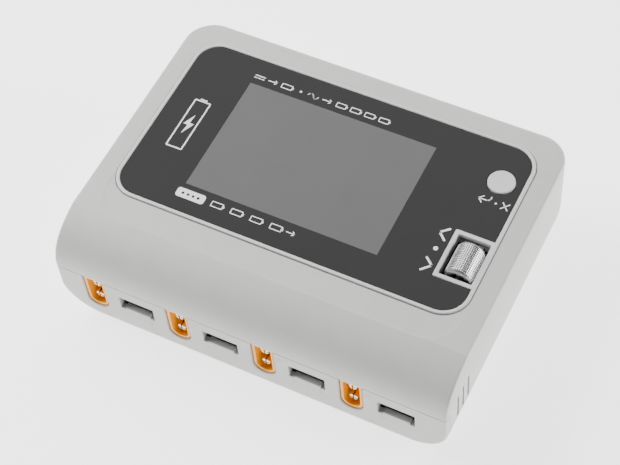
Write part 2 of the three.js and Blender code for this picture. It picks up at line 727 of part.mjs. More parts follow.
// ---------- fan, its axis along Y, with its front face at Y = 0 ----------
function fanFrame() {
  const half = FAN.side / 2;
  const plate = prism(evenRectangle(-half, half, -half, half, 2.5), "y", 0, FAN.depth);
  const duct = rod("y", FAN.duct, 0, 0, -1, FAN.depth + 1, 32);
  const screwHoles = [];
  for (const x of [-FAN.screwSide, FAN.screwSide]) {
    for (const z of [-FAN.screwSide, FAN.screwSide]) {
      screwHoles.push(rod("y", 1.4, x, z, -1, FAN.depth + 1, 10));
    }
  }
  const motorMount = rod("y", FAN.hub, 0, 0, FAN.depth - 1.5, FAN.depth);
  const struts = [];
  for (let i = 0; i < 3; i += 1) {
    const strut = block(0, FAN.duct + 0.5, FAN.depth - 1.5, FAN.depth, -1, 1);
    struts.push(strut.rotate([0, 30 + 120 * i, 0]));
  }
  return joinAll([cutAll(plate, [duct, ...screwHoles]), motorMount, ...struts]);
}

function fanRotor() {
  const back = FAN.depth - 1.5 - 2 * GAP;
  const pieces = [rod("y", FAN.hub - 0.2, 0, 0, 0.8, back)];
  for (let i = 0; i < FAN.blades; i += 1) {
    const blade = block(FAN.hub - 1.5, FAN.blade, -0.5, 0.5, -3.9, 3.9);
    const pitched = blade.rotate([52, 0, 0]).translate([0, (0.8 + back) / 2, 0]);
    pieces.push(pitched.rotate([0, (360 * i) / FAN.blades, 0]));
  }
  return joinAll(pieces);
}

// ---------- fasteners and feet ----------
function caseScrew() {
  const headBottom = SHELL_BOTTOM + 0.3;
  const headTop = SHELL_BOTTOM + WALL - GAP;
  const head = rod("z", SCREW.head, 0, 0, headBottom, headTop, 16);
  const shank = rod("z", SCREW.shank, 0, 0, headTop - 0.5, SCREW.top, 12);
  const driveHalf = 0.4;
  return cutAll(head.add(shank), [
    block(-1.6, 1.6, -driveHalf, driveHalf, 0, headBottom + 0.8),
    block(-driveHalf, driveHalf, -1.6, 1.6, 0, headBottom + 0.8),
  ]);
}

function rubberFoot() {
  return rod("z", FOOT.radius, 0, 0, 0, SHELL_BOTTOM + FOOT.recess - GAP);
}

// ---------- assembly ----------
const charger = new THREE.Group();
const deck = new THREE.Group();
deck.position.set(0, FRONT + DECK_SETBACK, DECK_Z);
charger.add(deck);

function place(parent, name, solid, finish, x = 0, y = 0, z = 0) {
  const mesh = new THREE.Mesh(toGeometry(solid), finish);
  mesh.name = name;
  mesh.position.set(x, y, z);
  parent.add(mesh);
  return mesh;
}

place(charger, "upper_case", upperCase(), MATERIALS.casing);
place(charger, "lower_case", lowerCase(), MATERIALS.casing);

place(deck, "display_bezel", displayBezel(), MATERIALS.bezel);
place(deck, "display_lens", displayLens(), MATERIALS.lens);
place(deck, "lcd_module", lcdModule(), MATERIALS.screen);
place(deck, "exit_button", exitButton(), MATERIALS.bezel, BUTTON.x, BUTTON.y);
place(deck, "button_switch", buttonSwitch(), MATERIALS.blackPlastic, BUTTON.x, BUTTON.y);
place(deck, "switch_plunger", switchPlunger(), MATERIALS.blackPlastic, BUTTON.x, BUTTON.y);
place(deck, "roller_wheel", rollerWheel(), MATERIALS.steel, ROLLER.x, ROLLER.y, ROLLER.z);
place(deck, "roller_axle", rollerAxle(), MATERIALS.steel, ROLLER.x, ROLLER.y, ROLLER.z);
place(deck, "roller_cradle", rollerCradle(), MATERIALS.blackPlastic, ROLLER.x, ROLLER.y, ROLLER.z);
const encoderY = ROLLER.y + CHEEK_OUTER + GAP;
place(deck, "roller_encoder", rollerEncoder(), MATERIALS.blackPlastic, ROLLER.x, encoderY);
place(deck, "control_board", controlBoard(), MATERIALS.board);

const pinLength = OUTPUT_BOARD_FRONT + BOARD_THICKNESS + 1 - (FRONT + SOCKET.recess) - PIN.tip;
for (let i = 0; i < CHANNELS; i += 1) {
  const channel = i + 1;
  const x = channelX(SOCKET.firstX, i);
  const y = FRONT + SOCKET.recess;
  place(charger, `output_socket_${channel}`, powerSocket(), MATERIALS.socketOrange, x, y, SOCKET_Z);
  const upper = SOCKET_Z + pinHeight(1);
  const lower = SOCKET_Z + pinHeight(-1);
  place(charger, `output_pin_upper_${channel}`, powerPin(pinLength), MATERIALS.gold, x, y, upper);
  place(charger, `output_pin_lower_${channel}`, powerPin(pinLength), MATERIALS.gold, x, y, lower);
  const headerX = channelX(HEADER.firstX, i);
  place(
    charger, `balance_socket_${channel}`, balanceSocket(), MATERIALS.blackPlastic,
    headerX, HEADER_FRONT, HEADER_Z);
  place(
    charger, `balance_pins_${channel}`, balancePins(), MATERIALS.gold,
    headerX, HEADER_FRONT, HEADER_Z);
  place(
    charger, `power_inductor_${channel}`, powerInductor(), MATERIALS.ferrite,
    x + CHANNEL_PITCH / 3, INDUCTOR.y, COMPONENT_Z);
}
place(charger, "output_board", outputBoard(), MATERIALS.board);
place(charger, "main_board", mainBoard(), MATERIALS.board);
place(charger, "insulation_sheet", insulationSheet(), MATERIALS.blackPlastic);

// The rear connectors are turned to face +Y, and the direct-current one also lies on its side.
const rearMouth = REAR - GAP;
const dcGroup = new THREE.Group();
dcGroup.position.set(DC_INPUT.x, rearMouth, DC_INPUT.z);
dcGroup.rotation.set(0, Math.PI / 2, Math.PI);
charger.add(dcGroup);
place(dcGroup, "dc_input_socket", powerSocket(), MATERIALS.socketOrange);
place(dcGroup, "dc_input_pin_left", powerPin(pinLength), MATERIALS.gold, 0, 0, pinHeight(-1));
place(dcGroup, "dc_input_pin_right", powerPin(pinLength), MATERIALS.gold, 0, 0, pinHeight(1));

const acGroup = new THREE.Group();
acGroup.position.set(INLET.x, rearMouth, INLET.z);
acGroup.rotation.z = Math.PI;
charger.add(acGroup);
place(acGroup, "ac_inlet", acInlet(), MATERIALS.blackPlastic);
place(acGroup, "ac_pin_left", acPin(), MATERIALS.steel, -INLET_PIN.side);
place(acGroup, "ac_pin_right", acPin(), MATERIALS.steel, INLET_PIN.side);

place(
  charger, "heat_sink", heatSink(), MATERIALS.aluminium, HEAT_SINK.x, HEAT_SINK.y, COMPONENT_Z);
place(
  charger, "transformer", transformer(), MATERIALS.ferrite,
  TRANSFORMER.x, TRANSFORMER.y, COMPONENT_Z);
place(
  charger, "bulk_capacitor", bulkCapacitor(), MATERIALS.sleeve,
  CAPACITOR.x, CAPACITOR.y, COMPONENT_Z);
place(charger, "ribbon_cable", ribbonCable(), MATERIALS.blackPlastic, RIBBON.x);

const fanFront = REAR - WALL - 2 * GAP - FAN.depth;
place(charger, "fan_frame", fanFrame(), MATERIALS.blackPlastic, FAN.x, fanFront, FAN.z);
place(charger, "fan_rotor", fanRotor(), MATERIALS.blackPlastic, FAN.x, fanFront, FAN.z);

screwPlaces().forEach(({ x, y }, i) => {
  place(charger, `case_screw_${i + 1}`, caseScrew(), MATERIALS.steel, x, y);
});
footPlaces().forEach(({ x, y }, i) => {
  place(charger, `rubber_foot_${i + 1}`, rubberFoot(), MATERIALS.rubber, x, y);
});

export default charger;
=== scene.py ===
"""A balance battery charger with four output channels, on the frame of its CAD model.

Lengths are written in millimetres and scaled to metres when a mesh is made. Everything on the
deck is built in the deck's own frame: Y from a line just behind the front face, Z the height above
the deck.
"""

import math

import bmesh
import bpy
from mathutils import Matrix, Vector

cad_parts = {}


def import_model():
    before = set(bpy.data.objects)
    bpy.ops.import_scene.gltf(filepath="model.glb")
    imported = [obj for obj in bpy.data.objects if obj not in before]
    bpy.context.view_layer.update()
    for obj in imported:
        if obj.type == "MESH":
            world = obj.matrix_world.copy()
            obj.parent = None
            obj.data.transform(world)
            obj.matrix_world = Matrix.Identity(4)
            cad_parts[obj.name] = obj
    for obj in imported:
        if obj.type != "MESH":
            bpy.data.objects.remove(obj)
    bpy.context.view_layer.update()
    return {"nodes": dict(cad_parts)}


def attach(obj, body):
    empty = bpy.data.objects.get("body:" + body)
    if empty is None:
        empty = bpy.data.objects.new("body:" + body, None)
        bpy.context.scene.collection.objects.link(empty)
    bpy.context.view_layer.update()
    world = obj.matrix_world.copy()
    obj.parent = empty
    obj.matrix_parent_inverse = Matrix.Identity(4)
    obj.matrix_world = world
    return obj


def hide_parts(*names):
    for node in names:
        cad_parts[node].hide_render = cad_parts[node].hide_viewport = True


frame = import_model()

MM = 0.001

# ---------- driving dimensions, as in the CAD model ----------
WIDTH, DEPTH = 149.0, 110.6
HALF_WIDTH, FRONT, REAR = WIDTH / 2, -DEPTH / 2, DEPTH / 2
SHELL_BOTTOM, WALL, GAP = 1.5, 2.2, 0.3
FRONT_SEAM_Z, SIDE_SEAM_Z, FRONT_PANEL_DEPTH = 26.6, 11.0, 3.0
FAR = 200.0

DECK_Z, DECK_SETBACK = 43.0, 2.0
FRONT_CORNER, REAR_CORNER, KEEL_CORNER, EDGE_CORNER = 1.0, 11.0, 14.0, 4.0
DECK_EDGE = 2.5
NOSE_EDGE_TOP = 0.8

NOSE_LENGTH, NOSE_RISE, RISE_FADE = 17.0, 0.25, 45.0
NOSE_TOP_PULL, NOSE_FRONT_PULL, NOSE_TOP_SLOPE = 9.1, 10.7, 0.22
PAN_HALF_WIDTH, PAN_CORNER, PAN_BLEND = 67.0, 12.0, 1.3

BEZEL = {"left": -67.1, "right": 66.9, "front": 25.2, "back": 99.7, "corner": 10.0}
RIM_WIDTH, RIM_HEIGHT, SHELF_TOP, BEZEL_BOTTOM = 1.4, 0.6, -1.0, -2.0
LENS_BOTTOM, LENS_TOP = -0.7, 0.3
SCREEN = {"left": -42.1, "right": 31.4, "front": 38.1, "back": 87.2}
LCD_MARGIN = {"side": 2.6, "front": 6.5, "back": 2.6}
LCD_THICKNESS = 2.6

BUTTON = {
    "x": 57.8, "y": 82.5, "radius": 4.9, "top": 0.9, "flange": 6.2, "flange_top": -2.3,
    "bottom": -3.0,
}
ROLLER = {"x": 59.4, "y": 47.5, "z": -1.5, "radius": 5.1, "length": 12.7, "bore": 1.3}
ROLLER_WINDOW = {
    "left": 53.0, "right": 64.9, "front": 40.0, "back": 57.0, "frame": 1.6, "skirt": -4.5}

CHANNELS, CHANNEL_PITCH = 4, 33.17
SOCKET = {
    "first_x": -59.75, "width": 8.1, "height": 16.0, "top": 26.2, "depth": 16.0, "cavity": 9.5,
    "wall": 1.05, "recess": 0.6, "round_height": 3.5, "clearance": 0.35,
}
PIN = {
    "radius": 1.75, "spacing": 7.2, "length": 17.7, "tip": 1.2, "slit": 0.5, "slit_depth": 5.5}
HEADER = {
    "first_x": -43.13, "slot_width": 13.45, "slot_top": 21.6, "slot_bottom": 16.0,
    "key_bottom": 15.1, "key_width": 1.7,
}
FAN = {
    "x": -30.0, "z": 21.5, "side": 30.0, "depth": 10.0, "duct": 14.0, "blade": 13.4, "hub": 7.0,
    "screw_side": 12.0, "front": REAR - WALL - 2 * GAP - 10.0,
}
GRILLE = {"slots": 7, "pitch": 4.0, "width": 2.4, "radius": 13.5, "floor": 12.6}
INLET = {
    "x": 36.0, "z": 24.0, "width": 22.0, "height": 13.0, "corner": 2.0, "mouth_width": 14.6,
    "mouth_height": 8.4, "mouth_depth": 12.5, "depth": 18.0, "pin_radius": 1.2, "pin_side": 4.3,
    "pin_tip": -2.5, "pin_end": -22.0,
}
DC_INPUT = {"x": 9.0, "z": 18.0}
VENT = {
    "first_y": -45.5, "pitch": 4.22, "count": 3, "width": 1.3, "top": 28.1, "bottom": 15.5,
    "wall": 0.9}
FOOT = {"x": 48.0, "y": 44.0, "radius": 5.0, "recess": 0.5}
SCREW = {"x": 58.0, "front_y": -29.0, "rear_y": 46.0, "head": 2.7, "shank": 1.25, "top": 16.0}
POST = {"radius": 3.6, "bottom": 5.8, "pad_radius": 5.0, "pad_top": 5.5}
RECESS_FLOOR, RECESS_BOTTOM = -2.3, -3.8

DECK = Matrix.Translation((0, FRONT + DECK_SETBACK, DECK_Z))
# Local X, Y, Z of a connector drawn facing +Z, for the front and for the rear panel.
FACING_FRONT = Matrix(((1, 0, 0, 0), (0, 0, -1, 0), (0, 1, 0, 0), (0, 0, 0, 1)))
FACING_REAR = Matrix(((-1, 0, 0, 0), (0, 0, 1, 0), (0, 1, 0, 0), (0, 0, 0, 1)))
# The same for a connector that lies on its side in the rear panel, its top towards +X.
LYING_REAR = Matrix(((0, 1, 0, 0), (0, 0, 1, 0), (1, 0, 0, 0), (0, 0, 0, 1)))


# ---------- meshes ----------
def to_mesh(vertices, faces):
    mesh = bpy.data.meshes.new("mesh")
    mesh.from_pydata([Vector(v) for v in vertices], [], faces)
    turn_outward(mesh)
    return mesh


def turn_outward(mesh):
    edit = bmesh.new()
    edit.from_mesh(mesh)
    bmesh.ops.remove_doubles(edit, verts=edit.verts, dist=1e-4)
    bmesh.ops.recalc_face_normals(edit, faces=edit.faces)
    edit.to_mesh(mesh)
    edit.free()


def smooth_by_angle(mesh, degrees):
    """Smooth faces, with the edges sharper than that angle kept sharp."""
    edit = bmesh.new()
    edit.from_mesh(mesh)
    limit = math.radians(degrees)
    for face in edit.faces:
        face.smooth = True
    for edge in edit.edges:
        edge.smooth = len(edge.link_faces) == 2 and edge.calc_face_angle() < limit
    edit.to_mesh(mesh)
    edit.free()


def loft(loops):
    """A closed solid through loops of equal length, with the first and last ones capped."""
    count = len(loops[0])
    faces = [tuple(range(count)), tuple((len(loops) - 1) * count + i for i in range(count))]
    for ring in range(len(loops) - 1):
        for i in range(count):
            a, b = ring * count + i, ring * count + (i + 1) % count
            faces.append((a, b, b + count, a + count))
    return to_mesh([point for loop in loops for point in loop], faces)


def ring(loops):
    """A closed ring through loops of equal length: the last one joins the first."""
    count, total = len(loops[0]), len(loops)
    faces = []
    for k in range(total):
        for i in range(count):
            a, b = k * count, (k + 1) % total * count
            faces.append((a + i, a + (i + 1) % count, b + (i + 1) % count, b + i))
    return to_mesh([point for loop in loops for point in loop], faces)


def block(x0, x1, y0, y1, z0, z1):
    low = [(x0, y0, z0), (x1, y0, z0), (x1, y1, z0), (x0, y1, z0)]
    return loft([low, [(x, y, z1) for x, y, _ in low]])


def prism(outline, z0, z1):
    """A closed outline in X and Y, raised from z0 to z1."""
    return loft([[(x, y, z0) for x, y in outline], [(x, y, z1) for x, y in outline]])


def lathe(profile, steps):
    """A profile of (radius, height) turned about Z; its ends lie on the axis or it is closed."""
    closed = profile[0] == profile[-1]
    points = profile[:-1] if closed else profile
    loops = []
    for radius, height in points:
        angles = [2 * math.pi * i / steps for i in range(steps)]
        loops.append([(radius * math.cos(a), radius * math.sin(a), height) for a in angles])
    return ring(loops) if closed else loft(loops)


def rectangle(x0, x1, y0, y1, radius, steps=8):
    """A rounded rectangle as a list of points, anticlockwise from the lower left corner."""
    if radius <= 0:
        return [(x0, y0), (x1, y0), (x1, y1), (x0, y1)]
    corners = [
        (x0 + radius, y0 + radius, 180), (x1 - radius, y0 + radius, 270),
        (x1 - radius, y1 - radius, 0), (x0 + radius, y1 - radius, 90),
    ]
    points = []
    for x, y, start in corners:
        for i in range(steps + 1):
            angle = math.radians(start + 90 * i / steps)
            points.append((x + radius * math.cos(angle), y + radius * math.sin(angle)))
    return points


def circle(x, y, radius, steps=48):
    angles = [2 * math.pi * i / steps for i in range(steps)]
    return [(x + radius * math.cos(a), y + radius * math.sin(a)) for a in angles]


def plate(outlines, z0, z1, bevel=0.0):
    """A flat plate from z0 to z1 with holes: an outline inside another one is a hole."""
    curve = bpy.data.curves.new("plate", "CURVE")
    curve.dimensions = "2D"
    curve.fill_mode = "BOTH"
    curve.extrude = (z1 - z0) / 2 - bevel
    curve.bevel_depth = bevel
    curve.bevel_resolution = 2
    curve.offset = -bevel
    for outline in outlines:
        spline = curve.splines.new("POLY")
        spline.points.add(len(outline) - 1)
        for point, (x, y) in zip(spline.points, outline):
            point.co = (x, y, 0, 1)
        spline.use_cyclic_u = True
    holder = bpy.data.objects.new("plate", curve)
    bpy.context.scene.collection.objects.link(holder)
    mesh = evaluated_mesh(holder)
    bpy.data.objects.remove(holder)
    bpy.data.curves.remove(curve)
    mesh.transform(Matrix.Translation((0, 0, (z0 + z1) / 2)))
    turn_outward(mesh)
    return mesh


def evaluated_mesh(obj):
    bpy.context.view_layer.update()
    depsgraph = bpy.context.evaluated_depsgraph_get()
    return bpy.data.meshes.new_from_object(obj.evaluated_get(depsgraph), depsgraph=depsgraph)


def moved(mesh, matrix):
    copy = mesh.copy()
    copy.transform(matrix)
    return copy


def together(meshes):
    """Several meshes as one, each still a closed solid of its own."""
    edit = bmesh.new()
    for mesh in meshes:
        edit.from_mesh(mesh)
    whole = bpy.data.meshes.new("together")
    edit.to_mesh(whole)
    edit.free()
    return whole


def boolean(mesh, tool, operation="DIFFERENCE"):
    holders = [bpy.data.objects.new("holder", m) for m in (mesh, tool)]
    for holder in holders:
        bpy.context.scene.collection.objects.link(holder)
    modifier = holders[0].modifiers.new("boolean", "BOOLEAN")
    modifier.object = holders[1]
    modifier.operation = operation
    modifier.solver = "MANIFOLD"
    result = evaluated_mesh(holders[0])
    for holder in holders:
        bpy.data.objects.remove(holder)
    if not result.polygons:
        raise ValueError("a boolean left nothing")
    return result


def cut_all(mesh, tools):
    for tool in tools:
        mesh = boolean(mesh, tool)
    return mesh


def piece(name, mesh, material, body, *nodes, angle=30, slot=None):
    """One piece of the object: its mesh in millimetres, its material, its body, its CAD nodes."""
    data = moved(mesh, Matrix.Scale(MM, 4))
    data.name = name
    smooth_by_angle(data, angle)
    obj = bpy.data.objects.new(name, data)
    bpy.context.scene.collection.objects.link(obj)
    data.materials.clear()
    data.materials.append(material)
    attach(obj, body)
    if nodes:
        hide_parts(*nodes)
    return obj


# ---------- materials ----------
class Finish:
    """A material with procedural colour, roughness and relief on one Principled shader."""

    def __init__(self, name):
        self.material = bpy.data.materials.new(name)
        self.material.use_nodes = True
        self.tree = self.material.node_tree
        self.shader = self.tree.nodes["Principled BSDF"]
        self.place = self.tree.nodes.new("ShaderNodeTexCoord").outputs["Object"]

    def noise(self, size, detail=3.0):
        """Noise with features about that many millimetres across."""
        node = self.tree.nodes.new("ShaderNodeTexNoise")
        node.inputs["Scale"].default_value = 1 / (size * MM)
        node.inputs["Detail"].default_value = detail
        self.tree.links.new(self.place, node.inputs["Vector"])
        return node.outputs["Fac"]

    def ramp(self, factor, low, high, start=0.35, end=0.65):
        node = self.tree.nodes.new("ShaderNodeMapRange")
        for key, value in (("From Min", start), ("From Max", end), ("To Min", low), ("To Max", high)):
            node.inputs[key].default_value = value
        self.tree.links.new(factor, node.inputs["Value"])
        return node.outputs["Result"]

    def color(self, first, second, factor):
        node = self.tree.nodes.new("ShaderNodeMix")
        node.data_type = "RGBA"
        node.inputs["A"].default_value = (*first, 1)
        node.inputs["B"].default_value = (*second, 1)
        self.tree.links.new(factor, node.inputs["Factor"])
        self.tree.links.new(node.outputs["Result"], self.shader.inputs["Base Color"])

    def link(self, output, socket):
        self.tree.links.new(output, self.shader.inputs[socket])

    def relief(self, height, depth, before=None):
        node = self.tree.nodes.new("ShaderNodeBump")
        node.inputs["Distance"].default_value = depth * MM
        node.inputs["Strength"].default_value = 1.0
        self.tree.links.new(height, node.inputs["Height"])
        if before is not None:
            self.tree.links.new(before, node.inputs["Normal"])
        self.tree.links.new(node.outputs["Normal"], self.shader.inputs["Normal"])
        return node.outputs["Normal"]

    def set(self, **values):
        for key, value in values.items():
            self.shader.inputs[key.replace("_", " ")].default_value = value
        return self


def plastic(name, light, dark, rough, spread, grain, depth, patch=6.0, **values):
    """A moulded plastic: slight colour patches, grain in its surface, roughness that varies."""
    finish = Finish(name)
    finish.color(light, dark, finish.ramp(finish.noise(patch), 0, 1))
    finish.link(finish.ramp(finish.noise(patch / 2), rough - spread, rough + spread), "Roughness")
    finish.relief(finish.noise(grain, 2.0), depth)
    return finish.set(**values).material


def metal(name, light, dark, rough, spread, grain, depth, patch=3.0, **values):
    return plastic(name, light, dark, rough, spread, grain, depth, patch, Metallic=1.0, **values)


MATERIALS = {
    "casing": plastic(
        "casing_plastic", (0.52, 0.52, 0.505), (0.505, 0.505, 0.49), 0.5, 0.03, 0.22, 0.012),
    "bezel": plastic(
        "bezel_plastic", (0.6, 0.615, 0.6), (0.58, 0.6, 0.58), 0.42, 0.03, 0.3, 0.006),
    "lens": plastic(
        "lens_acrylic", (0.008, 0.008, 0.008), (0.007, 0.007, 0.007), 0.16, 0.02, 12.0, 0.002, 20.0,
        Specular_IOR_Level=0.25),
    "screen": plastic(
        "display_surface", (0.1, 0.1, 0.1), (0.096, 0.096, 0.096), 0.25, 0.02, 10.0, 0.002, 20.0,
        Specular_IOR_Level=0.25),
    "print": plastic(
        "white_print", (0.85, 0.85, 0.85), (0.82, 0.82, 0.82), 0.5, 0.02, 0.2, 0.004),
    "orange_plastic": plastic(
        "orange_nylon", (1.0, 0.44, 0.0), (1.0, 0.38, 0.0), 0.35, 0.05, 0.4, 0.01, 2.0),
    "black_plastic": plastic(
        "black_moulding", (0.028, 0.028, 0.028), (0.02, 0.02, 0.02), 0.45, 0.05, 0.3, 0.01, 3.0),
    "rubber": plastic(
        "foot_rubber", (0.03, 0.03, 0.03), (0.02, 0.02, 0.02), 0.85, 0.05, 0.2, 0.03, 2.0),
    "circuit_board": plastic(
        "solder_mask", (0.02, 0.11, 0.05), (0.012, 0.07, 0.03), 0.4, 0.06, 1.5, 0.02, 2.5),
    "ferrite": plastic(
        "sintered_ferrite", (0.07, 0.07, 0.075), (0.045, 0.045, 0.05), 0.7, 0.05, 0.3, 0.03, 1.5),
    "capacitor_sleeve": plastic(
        "shrunk_sleeve", (0.02, 0.04, 0.1), (0.015, 0.03, 0.08), 0.3, 0.04, 3.0, 0.02, 4.0),
    "knurled": metal(
        "knurled_steel", (0.95, 0.94, 0.95), (0.88, 0.86, 0.88), 0.32, 0.05, 0.3, 0.004),
    # Near-black painted shade for the grooves between the knurl's teeth, which are the same steel as
    # the teeth.
    "knurl_groove_shade": plastic(
        "knurl_groove_painted_shade", (0.03, 0.028, 0.03), (0.02, 0.018, 0.02), 0.6, 0.05, 0.2, 0.01),
    # Marks a little darker than the casing: painted shade for the engraved marks on the front panel.
    "mark": plastic(
        "engraved_mark_painted_shade", (0.4, 0.4, 0.39), (0.37, 0.37, 0.36), 0.5, 0.02, 0.2, 0.004),
    "steel": metal(
        "polished_steel", (0.72, 0.72, 0.73), (0.66, 0.66, 0.67), 0.2, 0.05, 0.3, 0.004),
    "gold": metal(
        "gold_plating", (0.83, 0.66, 0.36), (0.78, 0.6, 0.32), 0.22, 0.05, 0.4, 0.004),
    "aluminium": metal(
        "extruded_aluminium", (0.62, 0.63, 0.64), (0.57, 0.58, 0.59), 0.38, 0.05, 0.3, 0.01),
}


# ---------- the body's form ----------
def smoothstep(value):
    value = min(max(value, 0.0), 1.0)
    return value * value * (3 - 2 * value)


def pan_share(x, from_front):
    """1 in the shallow pan in the middle of the deck, 0 outside it, with a soft edge between."""
    across = abs(x) - PAN_HALF_WIDTH + PAN_CORNER
    along = NOSE_LENGTH + PAN_CORNER - from_front
    if across > 0 and along > 0:
        outside = math.hypot(across, along) - PAN_CORNER
    else:
        outside = max(across, along) - PAN_CORNER
    return smoothstep(0.5 - outside / PAN_BLEND)


def edge_drop(radius, x, half):
    """How far a rounded side edge of that radius has fallen at x."""
    over = min(abs(x) - (half - radius), radius)
    return radius - math.sqrt(radius ** 2 - over ** 2) if over > 0 else 0.0


def nose_point(t):
    """The nose's curve from its foot (0) to its top (1) as (Y, Z) and its outward normal."""
    foot = Vector((FRONT, FRONT_SEAM_Z))
    top = Vector((FRONT + NOSE_LENGTH, DECK_Z + NOSE_RISE))
    pulls = [
        foot, foot + Vector((0, NOSE_FRONT_PULL)),
        top - Vector((NOSE_TOP_PULL, NOSE_TOP_PULL * NOSE_TOP_SLOPE)), top,
    ]
    s = 1 - t
    point = (
        pulls[0] * s ** 3 + pulls[1] * 3 * s * s * t + pulls[2] * 3 * s * t * t + pulls[3] * t ** 3)
    tangent = (
        (pulls[1] - pulls[0]) * s * s + (pulls[2] - pulls[1]) * 2 * s * t
        + (pulls[3] - pulls[2]) * t * t).normalized()
    return point, Vector((-tangent.y, tangent.x))


def arc(center_y, center_z, radius, start, end, steps=6):
    angles = [math.radians(start + (end - start) * i / steps) for i in range(steps + 1)]
    return [(center_y + radius * math.cos(a), center_z + radius * math.sin(a)) for a in angles]


NOSE_STEPS = 44
DECK_STEPS = [0.13 * i for i in range(1, 9)] + [1.2 + 1.1 * i for i in range(26)]
REAR_STEPS = 8


def section(x, inset):
    """The body's outline at x, as points in Y and Z, all of it moved inwards by the inset."""
    half = HALF_WIDTH - inset
    corner = EDGE_CORNER - inset
    front = FRONT + inset + edge_drop(max(FRONT_CORNER - inset, 0.3), x, half)
    rear = REAR - inset - edge_drop(REAR_CORNER - inset, x, half)
    bottom = SHELL_BOTTOM + inset + edge_drop(KEEL_CORNER - inset, x, half)
    points = arc(front + corner, bottom + corner, corner, 270, 180)
    seam = FRONT_SEAM_Z
    points += [(front, bottom + corner + (seam - bottom - corner) * i / 4) for i in range(1, 4)]
    for i in range(NOSE_STEPS + 1):
        t = 1 - (1 - i / NOSE_STEPS) ** 1.4
        point, normal = nose_point(t)
        radius = NOSE_EDGE_TOP + (FRONT_CORNER - NOSE_EDGE_TOP) * (1 - t) ** 2
        point = point + Vector((0, (DECK_Z - point.y) * pan_share(x, point.x - FRONT)))
        point = point - normal * (inset + edge_drop(max(radius - inset, 0.3), x, half))
        points.append((point.x, point.y))
    sunk = inset + edge_drop(max(NOSE_EDGE_TOP - inset, 0.3), x, half)
    edge = max(DECK_EDGE - inset, 0.3)
    reach = rear - edge - FRONT
    along = [NOSE_LENGTH + step for step in DECK_STEPS]
    along += [along[-1] + (reach - along[-1]) * i / REAR_STEPS for i in range(1, REAR_STEPS)]
    for v in along:
        rise = NOSE_RISE * max(RISE_FADE - v, 0) / (RISE_FADE - NOSE_LENGTH)
        points.append((FRONT + v, DECK_Z - sunk + rise * (1 - pan_share(x, v))))
    center_z = DECK_Z - edge - sunk
    points += arc(rear - edge, center_z, edge, 90, 0)
    points += [(rear, center_z + (bottom + corner - center_z) * i / 4) for i in range(1, 4)]
    points += arc(rear - corner, bottom + corner, corner, 0, -90)
    return points


def stations(inset):
    """The places along X where the body's outline changes, denser round its rounded edges."""
    half = HALF_WIDTH - inset
    places = {0.0, 12.0, 24.0, 36.0, 46.0, half}
    places.update(54 + 0.35 * i for i in range(42))
    for radius in (KEEL_CORNER, REAR_CORNER, FRONT_CORNER, NOSE_EDGE_TOP):
        radius = max(radius - inset, 0.3)
        places.update(half - radius * (1 - math.sin(math.pi / 2 * i / 9)) for i in range(9))
    kept = []
    for place in sorted(places):
        if place <= half and (not kept or place - kept[-1] > 0.05):
            kept.append(place)
    kept[-1] = half
    return [-x for x in reversed(kept[1:])] + kept


def body_form(inset):
    return loft([[(x, y, z) for y, z in section(x, inset)] for x in stations(inset)])


def parting_block(grow):
    tray = block(-FAR, FAR, -FAR, FAR, -FAR, SIDE_SEAM_Z + grow)
    panel_back = FRONT + FRONT_PANEL_DEPTH + grow
    return boolean(tray, block(-FAR, FAR, -FAR, panel_back, 0, FRONT_SEAM_Z + grow), "UNION")


def channel_x(first, index):
    return first + CHANNEL_PITCH * index


SOCKET_Z = SOCKET["top"] - SOCKET["height"] / 2


def socket_outline(grow):
    """The power connector's outline, centred, with a half-oval lower end."""
    x = SOCKET["width"] / 2 + grow
    z = SOCKET["height"] / 2 + grow
    drop = SOCKET["round_height"] + grow
    oval = [math.pi + math.pi * i / 24 for i in range(25)]
    lower = [(x * math.cos(a), -z + drop + drop * math.sin(a)) for a in oval]
    corner = 0.5
    return lower + [(x, z - corner), (x - corner, z), (-x + corner, z), (-x, z - corner)]


def header_mouth(grow=0.0):
    """The balance header's mouth, centred on X, with a key slot at both lower corners."""
    half = HEADER["slot_width"] / 2 + grow
    key = HEADER["key_width"] + 2 * grow
    low, floor, top = HEADER["key_bottom"] - grow, HEADER["slot_bottom"] - grow, HEADER["slot_top"]
    return [
        (-half, low), (-half + key, low), (-half + key, floor), (half - key, floor),
        (half - key, low), (half, low), (half, top + grow), (-half, top + grow)]


def flared(outline_of, depth, flare, y_face):
    """A cutter through a front wall whose mouth widens by the flare at the face."""
    outer = [(x, y_face - 1, z) for x, z in outline_of(flare)]
    face = [(x, y_face, z) for x, z in outline_of(flare)]
    inner = [(x, y_face + flare, z) for x, z in outline_of(0.0)]
    back = [(x, y_face + depth, z) for x, z in outline_of(0.0)]
    return loft([outer, face, inner, back])


def front_cutters():
    tools = []
    for i in range(CHANNELS):
        x = channel_x(SOCKET["first_x"], i)
        notch = flared(
            lambda grow: socket_outline(SOCKET["clearance"] + grow), 2 * WALL, 0.3, FRONT)
        tools.append(moved(notch, Matrix.Translation((x, 0, SOCKET_Z))))
        half = SOCKET["width"] / 2 + SOCKET["clearance"]
        tools.append(block(
            x - half, x + half, FRONT - WALL, FRONT + 2 * WALL, SOCKET_Z, FRONT_SEAM_Z + WALL))
        mouth = flared(header_mouth, 2 * WALL, 0.25, FRONT)
        tools.append(moved(mouth, Matrix.Translation((channel_x(HEADER["first_x"], i), 0, 0))))
    return tools


